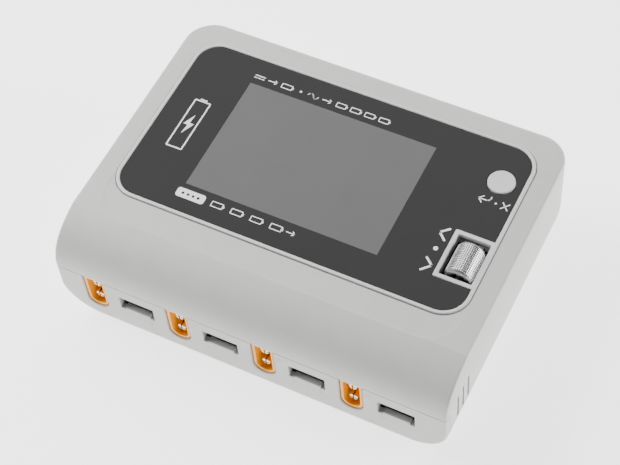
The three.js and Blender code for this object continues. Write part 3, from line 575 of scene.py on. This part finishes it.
def vent_cutters():
    """The slots, and a hollow behind them that leaves the wall thin there."""
    inner, outer = HALF_WIDTH - 4 * WALL, HALF_WIDTH - VENT["wall"]
    y0 = VENT["first_y"] - VENT["pitch"] / 2
    y1 = y0 + VENT["pitch"] * VENT["count"]
    tools = [
        block(x0, x1, y0, y1, VENT["bottom"] - 1, VENT["top"] + 1)
        for x0, x1 in ((-outer, -inner), (inner, outer))]
    for i in range(VENT["count"]):
        y = VENT["first_y"] + VENT["pitch"] * i
        half = VENT["width"] / 2
        tools.append(block(-FAR, FAR, y - half, y + half, VENT["bottom"], VENT["top"]))
    return tools


def grille_cutters():
    tools = []
    for i in range(GRILLE["slots"]):
        offset = (i - (GRILLE["slots"] - 1) / 2) * GRILLE["pitch"]
        reach = math.sqrt(GRILLE["radius"] ** 2 - offset ** 2)
        bottom = max(FAN["z"] - reach, GRILLE["floor"])
        half = GRILLE["width"] / 2
        x = FAN["x"] + offset
        slot = prism(
            rectangle(x - half, x + half, bottom, FAN["z"] + reach, half - 0.05, 4), 0, 4 * WALL)
        slot.transform(Matrix.Translation((0, REAR + WALL, 0)) @ FACING_FRONT)
        tools.append(slot)
    return tools


def grid_places(x, first_y, last_y):
    return [(side * x, y) for y in (first_y, last_y) for side in (-1, 1)]


SCREW_PLACES = grid_places(SCREW["x"], SCREW["front_y"], SCREW["rear_y"])
FOOT_PLACES = grid_places(FOOT["x"], -FOOT["y"], FOOT["y"])


def recess_floor():
    """The plate under the display frame, with its openings for the display, button and roller."""
    w = ROLLER_WINDOW
    reach = w["frame"] + GAP
    floor_plate = plate(
        [
            rectangle(
                BEZEL["left"] - GAP - 0.1, BEZEL["right"] + GAP + 0.1, BEZEL["front"] - GAP - 0.1,
                BEZEL["back"] + GAP + 0.1, BEZEL["corner"]),
            rectangle(*lcd_outline(GAP), 0.0),
            circle(BUTTON["x"], BUTTON["y"], BUTTON["flange"] + GAP),
            rectangle(
                w["left"] - reach, BEZEL["right"] - 0.5, w["front"] - reach, w["back"] + reach, 0.0),
        ],
        RECESS_BOTTOM, RECESS_FLOOR)
    return moved(floor_plate, DECK)


def upper_case():
    shell = boolean(body_form(0), body_form(WALL))
    shell = boolean(shell, parting_block(GAP))
    pocket = prism(
        rectangle(
            BEZEL["left"] - GAP, BEZEL["right"] + GAP, BEZEL["front"] - GAP, BEZEL["back"] + GAP,
            BEZEL["corner"] + GAP, 12),
        -2 * WALL, FAR)
    pocket.transform(DECK)
    inlet = block(
        INLET["x"] - INLET["width"] / 2 - GAP, INLET["x"] + INLET["width"] / 2 + GAP,
        REAR - 2 * WALL, FAR,
        INLET["z"] - INLET["height"] / 2 - GAP, INLET["z"] + INLET["height"] / 2 + GAP)
    dc = moved(
        prism(socket_outline(GAP), -4 * WALL, FAR),
        Matrix.Translation((DC_INPUT["x"], REAR, DC_INPUT["z"])) @ LYING_REAR)
    shell = cut_all(shell, [pocket, inlet, dc, *vent_cutters(), *grille_cutters()])
    for x, y in SCREW_PLACES:
        post = prism(circle(x, y, POST["radius"]), POST["bottom"], DECK_Z + RECESS_BOTTOM + 0.5)
        shell = boolean(shell, post, "UNION")
    return together([shell, recess_floor()])


def lower_case():
    shell = boolean(body_form(0), body_form(WALL))
    shell = boolean(shell, parting_block(0), "INTERSECT")
    for x, y in SCREW_PLACES:
        pad = prism(circle(x, y, POST["pad_radius"]), SHELL_BOTTOM + WALL / 2, POST["pad_top"])
        shell = boolean(shell, pad, "UNION")
    tools = front_cutters()
    for x, y in FOOT_PLACES:
        tools.append(prism(circle(x, y, FOOT["radius"] + GAP), 0, SHELL_BOTTOM + FOOT["recess"]))
    for x, y in SCREW_PLACES:
        tools.append(prism(circle(x, y, SCREW["head"] + GAP), 0, SHELL_BOTTOM + WALL))
        tools.append(prism(circle(x, y, SCREW["shank"] + GAP, 24), SHELL_BOTTOM + 1, FAR))
    return cut_all(shell, tools)


# ---------- display, button and roller, in the deck frame ----------
def on_deck(mesh):
    return moved(mesh, DECK)


def bezel_outline(inset, steps=12):
    return rectangle(
        BEZEL["left"] + inset, BEZEL["right"] - inset, BEZEL["front"] + inset,
        BEZEL["back"] - inset, BEZEL["corner"] - inset, steps)


def bezel_rim():
    """The raised band round the panel: two rounded edges and a flat foot on the shelf."""
    radius = 0.45
    top = RIM_HEIGHT
    profile = [(0.0, BEZEL_BOTTOM)]
    for i in range(6):
        a = math.pi / 2 * i / 5
        profile.append((radius * (1 - math.cos(a)), top - radius * (1 - math.sin(a))))
    for i in range(6):
        a = math.pi / 2 * i / 5
        profile.append((RIM_WIDTH - radius * (1 - math.sin(a)), top - radius * (1 - math.cos(a))))
    profile.append((RIM_WIDTH, BEZEL_BOTTOM))
    return ring([[(x, y, z) for x, y in bezel_outline(inset)] for inset, z in profile])


def lcd_outline(grow):
    return (
        SCREEN["left"] - LCD_MARGIN["side"] - grow, SCREEN["right"] + LCD_MARGIN["side"] + grow,
        SCREEN["front"] - LCD_MARGIN["front"] - grow, SCREEN["back"] + LCD_MARGIN["back"] + grow)


def window_outline(grow=0.0):
    w = ROLLER_WINDOW
    return rectangle(w["left"] - grow, w["right"] + grow, w["front"] - grow, w["back"] + grow, 0.4, 3)


def display_bezel():
    shelf = plate(
        [
            bezel_outline(RIM_WIDTH / 2), rectangle(*lcd_outline(GAP), 0.0),
            circle(BUTTON["x"], BUTTON["y"], BUTTON["radius"] + GAP), window_outline(),
        ],
        BEZEL_BOTTOM, SHELF_TOP)
    w = ROLLER_WINDOW
    collar = plate(
        [
            rectangle(
                w["left"] - w["frame"], BEZEL["right"] - RIM_WIDTH / 2,
                w["front"] - w["frame"], w["back"] + w["frame"], 0.5, 3),
            window_outline(),
        ],
        w["skirt"], RIM_HEIGHT, 0.25)
    return on_deck(together([bezel_rim(), shelf, collar]))


def display_lens():
    inset = RIM_WIDTH + 0.12
    w = ROLLER_WINDOW
    reach = w["frame"] + 0.12
    right = BEZEL["right"] - inset
    outline = plate(
        [
            bezel_outline(inset), circle(BUTTON["x"], BUTTON["y"], BUTTON["radius"] + GAP),
            rectangle(
                SCREEN["left"], SCREEN["right"], SCREEN["front"], SCREEN["back"], 0.0),
        ],
        LENS_BOTTOM, LENS_TOP)
    gap = block(
        w["left"] - reach, right + 1, w["front"] - reach, w["back"] + reach,
        LENS_BOTTOM - 1, LENS_TOP + 1)
    return on_deck(boolean(outline, gap))


def lcd_module():
    top = LENS_BOTTOM - GAP
    low = plate([rectangle(*lcd_outline(0), 0.5, 3)], top - LCD_THICKNESS, top)
    glass = plate(
        [rectangle(
            SCREEN["left"] + 0.03, SCREEN["right"] - 0.03, SCREEN["front"] + 0.03,
            SCREEN["back"] - 0.03, 0.0)],
        top - 0.1, LENS_TOP - 0.03)
    return on_deck(together([low, glass]))


def exit_button():
    edge = 0.5
    top = BUTTON["top"]
    radius = BUTTON["radius"]
    flange, flange_top = BUTTON["flange"], BUTTON["flange_top"]
    profile = [
        (0, BUTTON["bottom"]), (flange, BUTTON["bottom"]), (flange, flange_top),
        (radius, flange_top)]
    for i in range(7):
        a = math.pi / 2 * i / 6
        profile.append((radius - edge * (1 - math.cos(a)), top - edge * (1 - math.sin(a))))
    profile += [(radius - edge - 0.35, top - 0.06), (radius - 1.6, top - 0.12), (0, top - 0.12)]
    cap = lathe(profile, 72)
    return on_deck(moved(cap, Matrix.Translation((BUTTON["x"], BUTTON["y"], 0))))


ROLLER_PLACE = (
    Matrix.Translation((ROLLER["x"], ROLLER["y"], ROLLER["z"])) @ Matrix.Rotation(math.pi / 2, 4, "X"))
KNURL_TEETH, KNURL_ROWS, KNURL_DEPTH = 42, 15, 0.26
KNURL_SHAPE = [(0.0, 1.0), (0.2, 1.0), (0.34, 0.0), (0.86, 0.0)]


def roller_wheel():
    """A knurled barrel between two polished chamfers, with a sunk face at each end."""
    radius, half = ROLLER["radius"], ROLLER["length"] / 2
    edge = 0.7
    angles = []
    for tooth in range(KNURL_TEETH):
        angles += [((tooth + part) / KNURL_TEETH, sunk) for part, sunk in KNURL_SHAPE]

    def loop(height, base, knurl):
        points = []
        for share, sunk in angles:
            a = 2 * math.pi * share
            r = base - (KNURL_DEPTH * max(sunk, knurl) if knurl is not None else 0.0)
            points.append((r * math.cos(a), r * math.sin(a), height))
        return points

    loops = [
        loop(-half + 0.5, ROLLER["bore"], None), loop(-half + 0.5, radius - 2.2, None),
        loop(-half, radius - 1.9, None), loop(-half, radius - edge, None),
        loop(-half + 0.2, radius - edge * 0.55, None), loop(-half + edge, radius - 0.02, None),
    ]
    start = half - edge - 0.15
    pitch = 2 * start / KNURL_ROWS
    for row in range(KNURL_ROWS):
        for part, sunk in KNURL_SHAPE:
            loops.append(loop(-start + pitch * (row + part), radius, sunk))
    loops += [
        loop(start, radius, 1.0), loop(half - edge, radius - 0.02, None),
        loop(half - 0.2, radius - edge * 0.55, None), loop(half, radius - edge, None),
        loop(half, radius - 1.9, None), loop(half - 0.5, radius - 2.2, None),
        loop(half - 0.5, ROLLER["bore"], None),
    ]
    return on_deck(moved(ring(loops), ROLLER_PLACE))


def roller_shade_drum():
    """A near-black drum just above the roots of the knurl: painted shade in the grooves between the
    teeth.
    """
    radius = ROLLER["radius"] - KNURL_DEPTH + 0.04
    half = ROLLER["length"] / 2 - 0.8
    inner = ROLLER["bore"] + 0.5
    profile = [(inner, -half), (radius, -half), (radius, half), (inner, half), (inner, -half)]
    return on_deck(moved(lathe(profile, 96), ROLLER_PLACE))


piece("case_top", upper_case(), MATERIALS["casing"], "casing", "upper_case", angle=25)
piece("case_tray", lower_case(), MATERIALS["casing"], "casing", "lower_case", angle=25)
piece("display_frame", display_bezel(), MATERIALS["bezel"], "casing", "display_bezel")
piece("dark_panel", display_lens(), MATERIALS["lens"], "casing", "display_lens")
piece("display", lcd_module(), MATERIALS["screen"], "casing", "lcd_module")
piece("button_cap", exit_button(), MATERIALS["bezel"], "exit_button", "exit_button")
piece("roller_barrel", roller_wheel(), MATERIALS["knurled"], "roller_wheel", "roller_wheel")
# A near-black drum under the knurl: painted shade in its grooves.
piece("roller_shade_drum", roller_shade_drum(), MATERIALS["knurl_groove_shade"], "roller_wheel", slot="steel")


# ---------- connectors, drawn facing +Z with the mouth at Z = 0 ----------
def power_socket():
    mouth = plate(
        [socket_outline(0), socket_outline(-SOCKET["wall"])], -SOCKET["cavity"], 0, 0.22)
    back = plate([socket_outline(-0.02)], -SOCKET["depth"], 0.3 - SOCKET["cavity"], 0.2)
    return together([mouth, back])


def power_pin():
    """A round pin with a rounded tip, split crosswise."""
    radius, edge, tip = PIN["radius"], 0.45, -PIN["tip"]
    profile = [(0, tip - PIN["length"]), (radius, tip - PIN["length"])]
    for i in range(6):
        a = math.pi / 2 * i / 5
        profile.append((radius - edge * (1 - math.cos(a)), tip - edge * (1 - math.sin(a))))
    profile.append((0, tip))
    half, depth = PIN["slit"] / 2, tip - PIN["slit_depth"]
    return cut_all(lathe(profile, 32), [
        block(-FAR, FAR, -half, half, depth, FAR), block(-half, half, -FAR, FAR, depth, FAR)])


def pin_place(place, side):
    return place @ Matrix.Translation((0, side * PIN["spacing"] / 2, 0))


for i in range(CHANNELS):
    place = Matrix.Translation((channel_x(SOCKET["first_x"], i), FRONT + SOCKET["recess"], SOCKET_Z))
    place = place @ FACING_FRONT
    number = i + 1
    piece(
        f"power_shell_{number}", moved(power_socket(), place), MATERIALS["orange_plastic"],
        "casing", f"output_socket_{number}")
    for side, name in ((1, "upper"), (-1, "lower")):
        piece(
            f"power_contact_{name}_{number}", moved(power_pin(), pin_place(place, side)),
            MATERIALS["gold"], "casing", f"output_pin_{name}_{number}")


place = Matrix.Translation((DC_INPUT["x"], REAR - GAP, DC_INPUT["z"])) @ LYING_REAR
piece(
    "rear_power_shell", moved(power_socket(), place), MATERIALS["orange_plastic"], "casing",
    "dc_input_socket")
for side, name in ((-1, "left"), (1, "right")):
    piece(
        f"rear_power_contact_{name}", moved(power_pin(), pin_place(place, side)),
        MATERIALS["gold"], "casing", f"dc_input_pin_{name}")


def stadium(width, height, steps=16):
    return rectangle(-width / 2, width / 2, -height / 2, height / 2, height / 2 - 0.01, steps)


def mains_inlet():
    x, z = INLET["width"] / 2, INLET["height"] / 2
    outline = rectangle(-x, x, -z, z, INLET["corner"])
    opening = stadium(INLET["mouth_width"], INLET["mouth_height"])
    mouth = plate([outline, opening], -INLET["mouth_depth"], 0, 0.3)
    back_outline = rectangle(-x + 0.05, x - 0.05, -z + 0.05, z - 0.05, INLET["corner"])
    back = plate([back_outline], -INLET["depth"], 0.3 - INLET["mouth_depth"])
    return together([mouth, back])


def mains_pin(side):
    radius = INLET["pin_radius"]
    profile = [(0, INLET["pin_end"]), (radius, INLET["pin_end"])]
    for i in range(7):
        a = math.pi / 2 * i / 6
        profile.append((radius * math.cos(a), INLET["pin_tip"] - radius * (1 - math.sin(a))))
    return moved(lathe(profile, 32), Matrix.Translation((side * INLET["pin_side"], 0, 0)))


place = Matrix.Translation((INLET["x"], REAR - GAP, INLET["z"])) @ FACING_REAR
piece("mains_socket", moved(mains_inlet(), place), MATERIALS["black_plastic"], "casing", "ac_inlet")
for side, name in ((-1, "left"), (1, "right")):
    piece(
        f"mains_contact_{name}", moved(mains_pin(side), place), MATERIALS["steel"], "casing",
        f"ac_pin_{name}")


# ---------- fan, drawn about the origin with its axis along Z and its front face at Z = 0 ----------
def fan_frame():
    half = FAN["side"] / 2
    side = FAN["screw_side"]
    holes = [circle(x, y, 1.4, 24) for x in (-side, side) for y in (-side, side)]
    outline = rectangle(-half, half, -half, half, 2.5)
    flanges = [
        plate([outline, circle(0, 0, FAN["duct"], 96), *holes], z, z + 2.5, 0.2)
        for z in (-FAN["depth"], -2.5)]
    duct = plate(
        [circle(0, 0, FAN["duct"] + 1, 96), circle(0, 0, FAN["duct"], 96)],
        0.5 - FAN["depth"], -0.5)
    mount = plate([circle(0, 0, FAN["hub"], 64)], -FAN["depth"], 1.5 - FAN["depth"], 0.2)
    struts = []
    for i in range(3):
        bar = block(0, FAN["duct"] + 0.5, -1, 1, -FAN["depth"], 1.5 - FAN["depth"])
        struts.append(moved(bar, Matrix.Rotation(math.radians(30 + 120 * i), 4, "Z")))
    return together([*flanges, duct, mount, *struts])


def fan_blade():
    """A twisted blade, thicker in the middle of its chord than at its edges."""
    loops = []
    for k in range(9):
        share = k / 8
        radius = FAN["hub"] - 1 + (FAN["blade"] - FAN["hub"] + 1) * share
        pitch = math.radians(52 - 16 * share)
        chord, camber = 7.6 + 2.2 * share, 0.9
        loop = []
        for i in range(16):
            a = 2 * math.pi * i / 16
            along = chord / 2 * math.cos(a)
            across = 0.42 * math.sin(a) + camber * (1 - (2 * along / chord) ** 2)
            y = along * math.cos(pitch) - across * math.sin(pitch)
            z = along * math.sin(pitch) + across * math.cos(pitch)
            loop.append((math.sqrt(max(radius ** 2 - y ** 2, 1)), y, z))
        loops.append(loop)
    return loft(loops)


def fan_rotor():
    top, foot = -0.8, 2.1 - FAN["depth"]
    middle = (top + foot) / 2
    hub = lathe(
        [(0, foot), (FAN["hub"] - 0.2, foot), (FAN["hub"] - 0.2, top - 0.8),
         (FAN["hub"] - 0.45, top - 0.25), (FAN["hub"] - 1, top), (0, top)], 64)
    blades = []
    for i in range(7):
        turn = Matrix.Rotation(2 * math.pi * i / 7, 4, "Z")
        blades.append(moved(fan_blade(), turn @ Matrix.Translation((0, 0, middle - 0.4))))
    return together([hub, *blades])


place = Matrix.Translation((FAN["x"], FAN["front"], FAN["z"])) @ FACING_FRONT
piece("fan_housing", moved(fan_frame(), place), MATERIALS["black_plastic"], "casing", "fan_frame")
piece("fan_impeller", moved(fan_rotor(), place), MATERIALS["black_plastic"], "fan_rotor", "fan_rotor")


# ---------- feet and screws ----------
def rubber_foot(x, y):
    radius, top, edge = FOOT["radius"], SHELL_BOTTOM + FOOT["recess"] - GAP, 0.4
    profile = [(0, 0), (radius - edge - 0.2, 0), (radius - edge, 0.02), (radius - 0.1, edge)]
    profile += [(radius, edge + 0.2), (radius, top), (0, top)]
    return moved(lathe(profile, 64), Matrix.Translation((x, y, 0)))


def case_screw(x, y):
    low, high = SHELL_BOTTOM + 0.3, SHELL_BOTTOM + WALL - GAP
    head, shank = SCREW["head"], SCREW["shank"]
    profile = [
        (0, low), (head - 0.7, low), (head - 0.25, low + 0.15), (head, low + 0.5), (head, high),
        (shank, high), (shank, SCREW["top"] - 1), (0, SCREW["top"])]
    drive = [block(-1.6, 1.6, -0.4, 0.4, 0, low + 0.8), block(-0.4, 0.4, -1.6, 1.6, 0, low + 0.8)]
    return moved(cut_all(lathe(profile, 40), drive), Matrix.Translation((x, y, 0)))


for i, (x, y) in enumerate(FOOT_PLACES):
    piece(f"foot_{i + 1}", rubber_foot(x, y), MATERIALS["rubber"], "casing", f"rubber_foot_{i + 1}")
for i, (x, y) in enumerate(SCREW_PLACES):
    piece(f"screw_{i + 1}", case_screw(x, y), MATERIALS["steel"], "casing", f"case_screw_{i + 1}")


# ---------- printed marks, and engraved marks in painted shade, drawn in the plane and raised by the thickness of the print ---
PRINT = 0.03


def stroke(start, end, width):
    """A straight printed line with round ends."""
    a, b = Vector(start), Vector(end)
    angle = math.atan2(b.y - a.y, b.x - a.x)
    points = []
    for center, first in ((b, -90), (a, 90)):
        for i in range(9):
            turn = angle + math.radians(first + 180 * i / 8)
            points.append((
                center.x + width / 2 * math.cos(turn), center.y + width / 2 * math.sin(turn)))
    return prism(points, 0, PRINT)


def path(points, width):
    return [stroke(a, b, width) for a, b in zip(points, points[1:])]


def dot(x, y, radius):
    return prism(circle(x, y, radius, 24), 0, PRINT)


def battery_mark(x, y, width, height, line):
    """A cell lying along X, with its terminal at the right."""
    body = [
        rectangle(x, x + width, y, y + height, line),
        rectangle(x + line, x + width - line, y + line, y + height - line, 0.0)]
    cap = prism(
        rectangle(x + width + line / 3, x + width + 1.3 * line, y + height * 0.3, y + height * 0.7, 0),
        0, PRINT)
    return [plate(body, 0, PRINT), cap]


def bolt_mark(x, y, size):
    shape = [(0.1, 1.0), (-0.42, -0.08), (-0.04, -0.08), (-0.14, -1.0), (0.42, 0.14), (0.04, 0.14)]
    return [prism([(x + size * px, y + size * py) for px, py in shape], 0, PRINT)]


def arrow_mark(x, y, length, size, line):
    tip = (x + length, y)
    barbs = [(tip[0] - size, y + size), tip, (tip[0] - size, y - size)]
    return path([(x, y), tip], line) + path(barbs, line)


def direct_mark(x, y, size, line):
    """A long line over three short ones: direct current."""
    apart, half = 0.55, size * 0.22
    marks = [stroke((x - size, y + apart), (x + size, y + apart), line)]
    for k in (-1, 0, 1):
        middle = x + size * 0.75 * k
        marks.append(stroke((middle - half, y - apart), (middle + half, y - apart), line))
    return marks


def wave_mark(x, y, size, line):
    """One wave: alternating current."""
    height = size * 0.55
    points = [(x + size * (k / 6 - 1), y + height * math.sin(math.pi * k / 6)) for k in range(13)]
    return path(points, line)


def lens_marks():
    """The marks on the dark panel: one group by the roller, and one on each side of the display."""
    bold, fine, thin, cell_line = 0.8, 0.42, 0.4, 0.35
    marks = path([(49.5, 57.7), (46.8, 55.2), (49.5, 52.7)], bold)
    marks += path([(47.0, 44.1), (49.8, 41.8), (47.0, 38.9)], bold)
    marks.append(dot(48.2, 48.6, 0.85))
    # The upright cell at the left, with its bolt.
    upright = Matrix.Rotation(math.pi / 2, 4, "Z")
    marks += [moved(mark, upright) for mark in battery_mark(50.0, 50.4, 22.6, 6.6, 0.55)]
    marks += bolt_mark(-53.7, 61.3, 4.6)
    # Above the display: direct current in, alternating current in, four cells out.
    row, cell_row = 90.6, 89.5
    marks += direct_mark(-40.0, row, 1.9, thin) + arrow_mark(-36.4, row, 3.4, bold, thin)
    marks += battery_mark(-31.2, cell_row, 4.4, 2.2, cell_line)
    marks.append(dot(-23.4, row, 0.45))
    marks += wave_mark(-18.4, row, 2.0, thin) + arrow_mark(-14.6, row, 3.4, bold, thin)
    for k in range(CHANNELS):
        marks += battery_mark(-9.2 + 5.6 * k, cell_row, 4.0, 2.2, cell_line)
    # Below the display: a filled tag, then one cell for each channel.
    tag = [rectangle(-43.4, -32.4, 32.2, 36.0, 1.0)]
    tag += [circle(-40.9 + 2.0 * k, 34.1, 0.55, 16) for k in range(4)]
    marks.append(plate(tag, 0, PRINT))
    for k in range(CHANNELS):
        marks += battery_mark(-29.8 + 7.6 * k, 33.0, 4.6, 2.4, cell_line)
    marks += arrow_mark(-0.6, 34.2, 3.0, bold, thin)
    # Under the button: a way back, a dot and a cross.
    marks += path([(54.6, 75.0), (53.0, 73.6), (54.6, 72.2)], fine)
    marks += path([(53.0, 73.6), (56.4, 73.6), (57.2, 74.4), (57.2, 75.4)], fine)
    marks.append(dot(59.4, 73.6, 0.4))
    marks += path([(61.6, 74.9), (64.0, 72.3)], fine) + path([(61.6, 72.3), (64.0, 74.9)], fine)
    return on_deck(moved(together(marks), Matrix.Translation((0, 0, LENS_TOP))))


def panel_marks():
    """Small flat marks darker than the casing, painted shade for engraved marks: a minus, dots and a
    plus under each balance slot, dots by each socket.
    """
    marks = []
    below, beside, line, size, apart = 12.3, 23.7, 0.3, 0.6, 2.45
    for i in range(CHANNELS):
        x = channel_x(HEADER["first_x"], i)
        minus, plus = x - 4.9, x + 5.2
        marks += path([(minus - size, below), (minus + size, below)], line)
        marks += [dot(x + apart * k, below, 0.32) for k in (-1, 0, 1)]
        marks += path([(plus - size, below), (plus + size, below)], line)
        marks += path([(plus, below - size), (plus, below + size)], line)
        right = channel_x(SOCKET["first_x"], i) + SOCKET["width"] / 2 + 1.9
        for k in range(i + 1):
            marks.append(dot(right + 1.1 * (k % 2), beside - 1.1 * (k // 2), 0.3))
    return moved(together(marks), Matrix.Translation((0, FRONT, 0)) @ FACING_FRONT)


piece("panel_symbols", lens_marks(), MATERIALS["print"], "casing", slot="lens")
# The channel marks are painted shade for engraved marks.
piece("channel_symbols", panel_marks(), MATERIALS["mark"], "casing", slot="casing")


# ---------- CAD nodes that keep their shape ----------
def keep(names, slot, bevel=0.0):
    """The CAD nodes of these names get that finish, and fine bevels along their edges."""
    for name in names:
        node = frame["nodes"][name]
        node.data.materials.clear()
        node.data.materials.append(MATERIALS[slot])
        if bevel:
            weld = node.modifiers.new("weld", "WELD")
            weld.merge_threshold = 0.001 * MM
            modifier = node.modifiers.new("bevel", "BEVEL")
            modifier.width = bevel * MM
            modifier.segments = 2
            modifier.limit_method = "ANGLE"
            modifier.angle_limit = math.radians(40)


numbers = range(1, CHANNELS + 1)
keep([f"balance_socket_{n}" for n in numbers], "black_plastic", 0.15)
keep([f"balance_pins_{n}" for n in numbers], "gold", 0.08)
keep([f"power_inductor_{n}" for n in numbers], "ferrite", 0.3)
keep(["button_switch", "roller_encoder", "ribbon_cable", "roller_cradle"], "black_plastic", 0.12)
keep(["switch_plunger", "insulation_sheet", "roller_axle"], "black_plastic")
keep(["control_board", "output_board", "main_board"], "circuit_board")
keep(["heat_sink"], "aluminium", 0.1)
keep(["transformer"], "ferrite", 0.3)
keep(["bulk_capacitor"], "capacitor_sleeve", 0.5)


# ---------- floor, light and camera ----------
def floor():
    mesh = moved(block(-3000, 3000, -3000, 3000, -20, 0), Matrix.Scale(MM, 4))
    finish = plastic(
        "floor_paper", (0.93, 0.93, 0.93), (0.92, 0.92, 0.92), 0.9, 0.02, 2.0, 0.02, 60.0,
        Emission_Color=(1, 1, 1, 1), Emission_Strength=2.0)
    mesh.materials.append(finish)
    obj = bpy.data.objects.new("floor", mesh)
    bpy.context.scene.collection.objects.link(obj)


def area_light(name, position, size, power, target=(0, 0, 0.025)):
    data = bpy.data.lights.new(name, "AREA")
    data.shape = "RECTANGLE"
    data.size, data.size_y = size
    data.energy = power
    obj = bpy.data.objects.new(name, data)
    obj.location = position
    obj.rotation_euler = (Vector(target) - Vector(position)).to_track_quat("-Z", "Y").to_euler()
    bpy.context.scene.collection.objects.link(obj)


def world(strength):
    background = bpy.data.worlds.new("studio")
    background.use_nodes = True
    shader = background.node_tree.nodes["Background"]
    shader.inputs["Color"].default_value = (1, 1, 1, 1)
    shader.inputs["Strength"].default_value = strength
    bpy.context.scene.world = background


CAMERA = {
    "azimuth": 31.62, "elevation": 55.67, "roll": -6.28, "lens": 96.78,
    "place": (173.88, -287.51, 509.92),
}


def camera():
    azimuth, elevation = math.radians(CAMERA["azimuth"]), math.radians(CAMERA["elevation"])
    back = Vector((
        math.sin(azimuth) * math.cos(elevation), -math.cos(azimuth) * math.cos(elevation),
        math.sin(elevation)))
    right = (-back).cross(Vector((0, 0, 1))).normalized()
    up = right.cross(-back)
    roll = math.radians(CAMERA["roll"])
    right, up = (
        math.cos(roll) * right + math.sin(roll) * up, math.cos(roll) * up - math.sin(roll) * right)
    data = bpy.data.cameras.new("camera")
    data.lens = CAMERA["lens"]
    data.sensor_width = 36
    data.clip_start = 0.01
    obj = bpy.data.objects.new("camera", data)
    bpy.context.scene.collection.objects.link(obj)
    turn = Matrix((right, up, back)).transposed().to_4x4()
    obj.matrix_world = Matrix.Translation(Vector(CAMERA["place"]) * MM) @ turn
    bpy.context.scene.camera = obj


floor()
world(0.12)
area_light("top", (-0.35, 0.55, 0.95), (1.2, 1.2), 11.5)
area_light("left", (-0.6, -0.02, 0.6), (0.5, 0.5), 10.0)
area_light("right", (0.9, 0.4, 0.3), (0.6, 0.5), 10.0)
camera()
